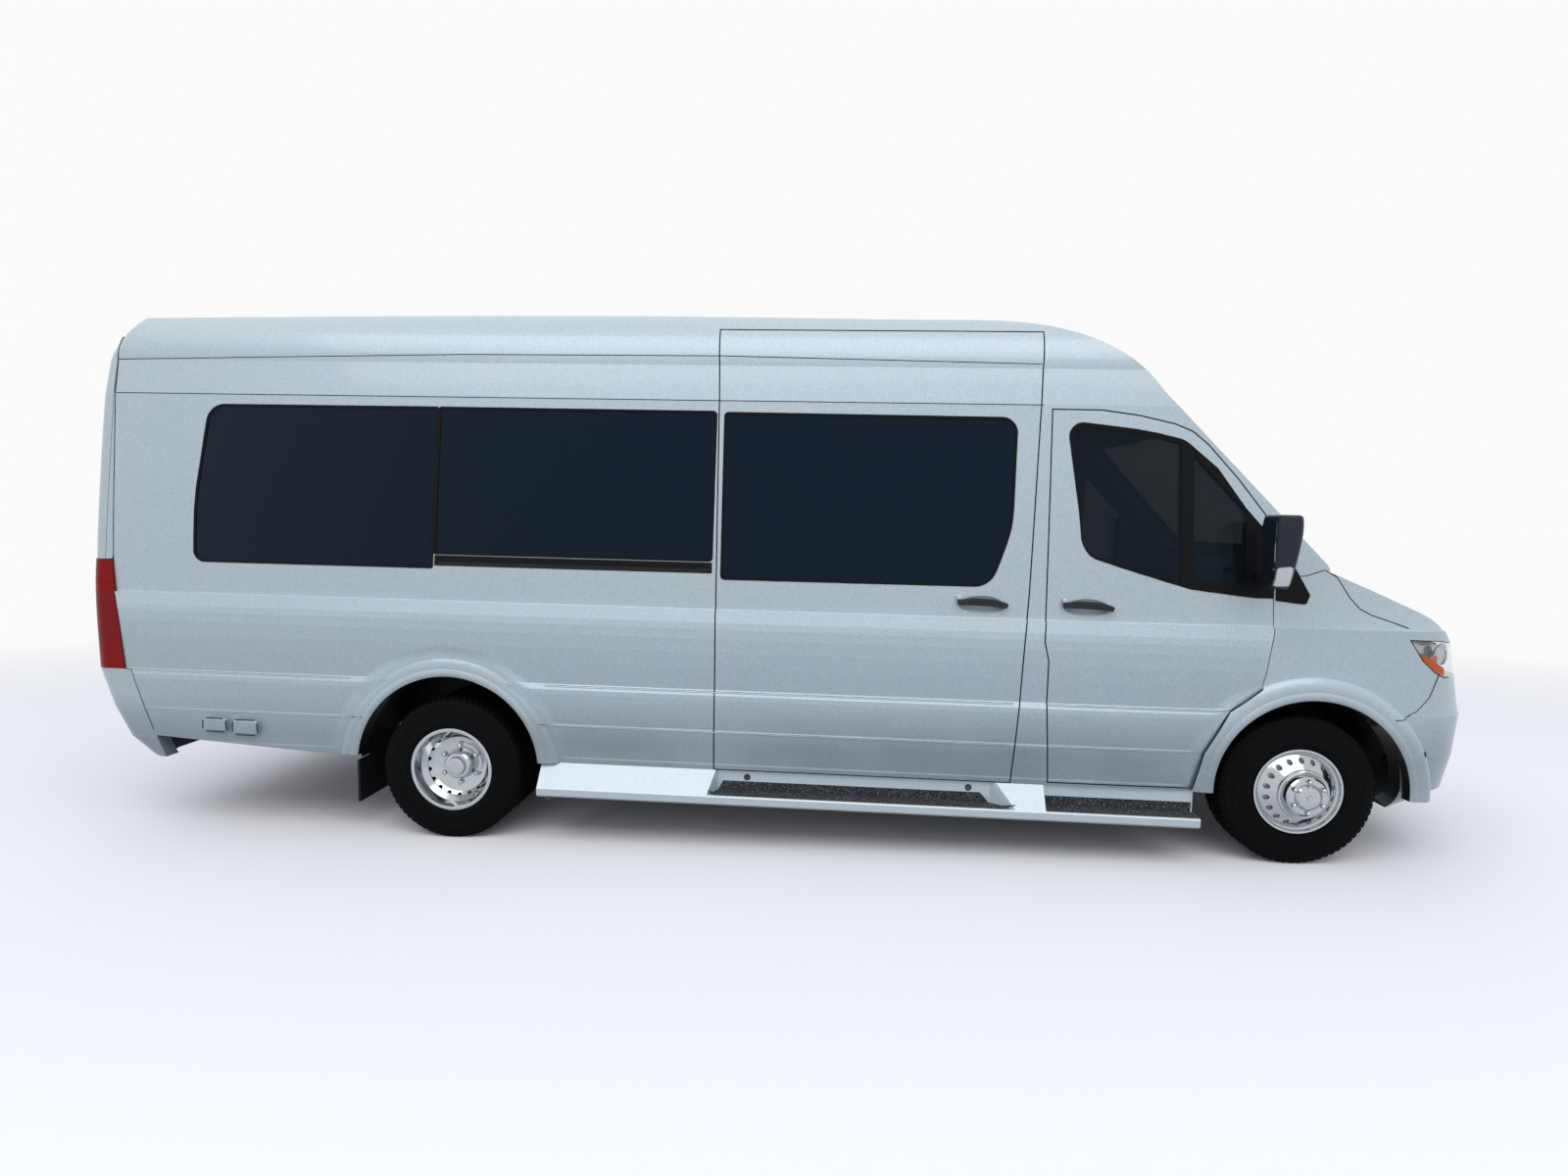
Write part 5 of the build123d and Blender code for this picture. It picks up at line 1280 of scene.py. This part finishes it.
def seen(tree):
    """1 for rays from the camera, mirrors and glass, 0 for rays of scattered light."""
    rays = add(tree, "ShaderNodeLightPath").outputs
    first = add(tree, "ShaderNodeMath", {0: rays["Is Camera Ray"], 1: rays["Is Glossy Ray"]}, operation="MAXIMUM")
    return add(
        tree, "ShaderNodeMath", {0: first.outputs[0], 1: rays["Is Transmission Ray"]}, operation="MAXIMUM"
    ).outputs[0]


floor_paint, tree, shader = finish_named("pale_floor", Roughness=0.9, Specular_IOR_Level=0.1)
shown = add(
    tree, "ShaderNodeMix", {"Factor": seen(tree), "A": linear("5f6164"), "B": linear("f4f3f8")}, data_type="RGBA"
)
wire(tree, shader, {"Base Color": shown.outputs[2]})
where = add(tree, "ShaderNodeTexCoord").outputs["Object"]
oval = add(tree, "ShaderNodeVectorMath", {0: where, 1: (1 / 11, 1 / 6.5, 0)}, operation="MULTIPLY")
away = add(tree, "ShaderNodeVectorMath", {0: oval.outputs["Vector"]}, operation="LENGTH")
fade = add(
    tree, "ShaderNodeMapRange", {"Value": away.outputs["Value"], "From Min": 0.62, "From Max": 1.3},
    interpolation_type="SMOOTHSTEP",
)
sweep_up = add(tree, "ShaderNodeEmission", {"Color": linear(SKY_SEEN), "Strength": 1.0})
faded = add(tree, "ShaderNodeMath", {0: fade.outputs["Result"], 1: seen(tree)}, operation="MULTIPLY")
ground = add(tree, "ShaderNodeMixShader", {0: faded.outputs[0], 1: shader.outputs[0], 2: sweep_up.outputs[0]})
wire(tree, tree.nodes["Material Output"], {"Surface": ground.outputs[0]})
bpy.ops.mesh.primitive_plane_add(size=160, location=(0, 0, 0))
floor = bpy.context.object
floor.name = "floor"
floor.data.materials.append(floor_paint)
floor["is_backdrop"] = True

# %% The soft light and the sky
LAMP_AT, LAMP_AIM = Vector((0, -6.5, 9)), Vector((0, -0.5, 1))
overhead = new_object("overhead", bpy.data.lights.new("overhead", "AREA"))
overhead.data.shape, overhead.data.size, overhead.data.size_y = "RECTANGLE", 16, 6
overhead.data.energy = 540
overhead.location = LAMP_AT
overhead.rotation_euler = (LAMP_AIM - LAMP_AT).to_track_quat("-Z", "Y").to_euler()
world = bpy.data.worlds.new("studio")
bpy.context.scene.world = world
world.use_nodes = True
sky = world.node_tree
lit = sky.nodes["Background"]
wire(sky, lit, {"Color": linear("edf1f5"), "Strength": 0.9})
backdrop = add(sky, "ShaderNodeBackground", {"Color": linear(SKY_SEEN), "Strength": 1.0})
both = add(sky, "ShaderNodeMixShader", {0: seen(sky), 1: lit.outputs[0], 2: backdrop.outputs[0]})
wire(sky, sky.nodes["World Output"], {"Surface": both.outputs[0]})

# %% Sizes, and the end
low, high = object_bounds()
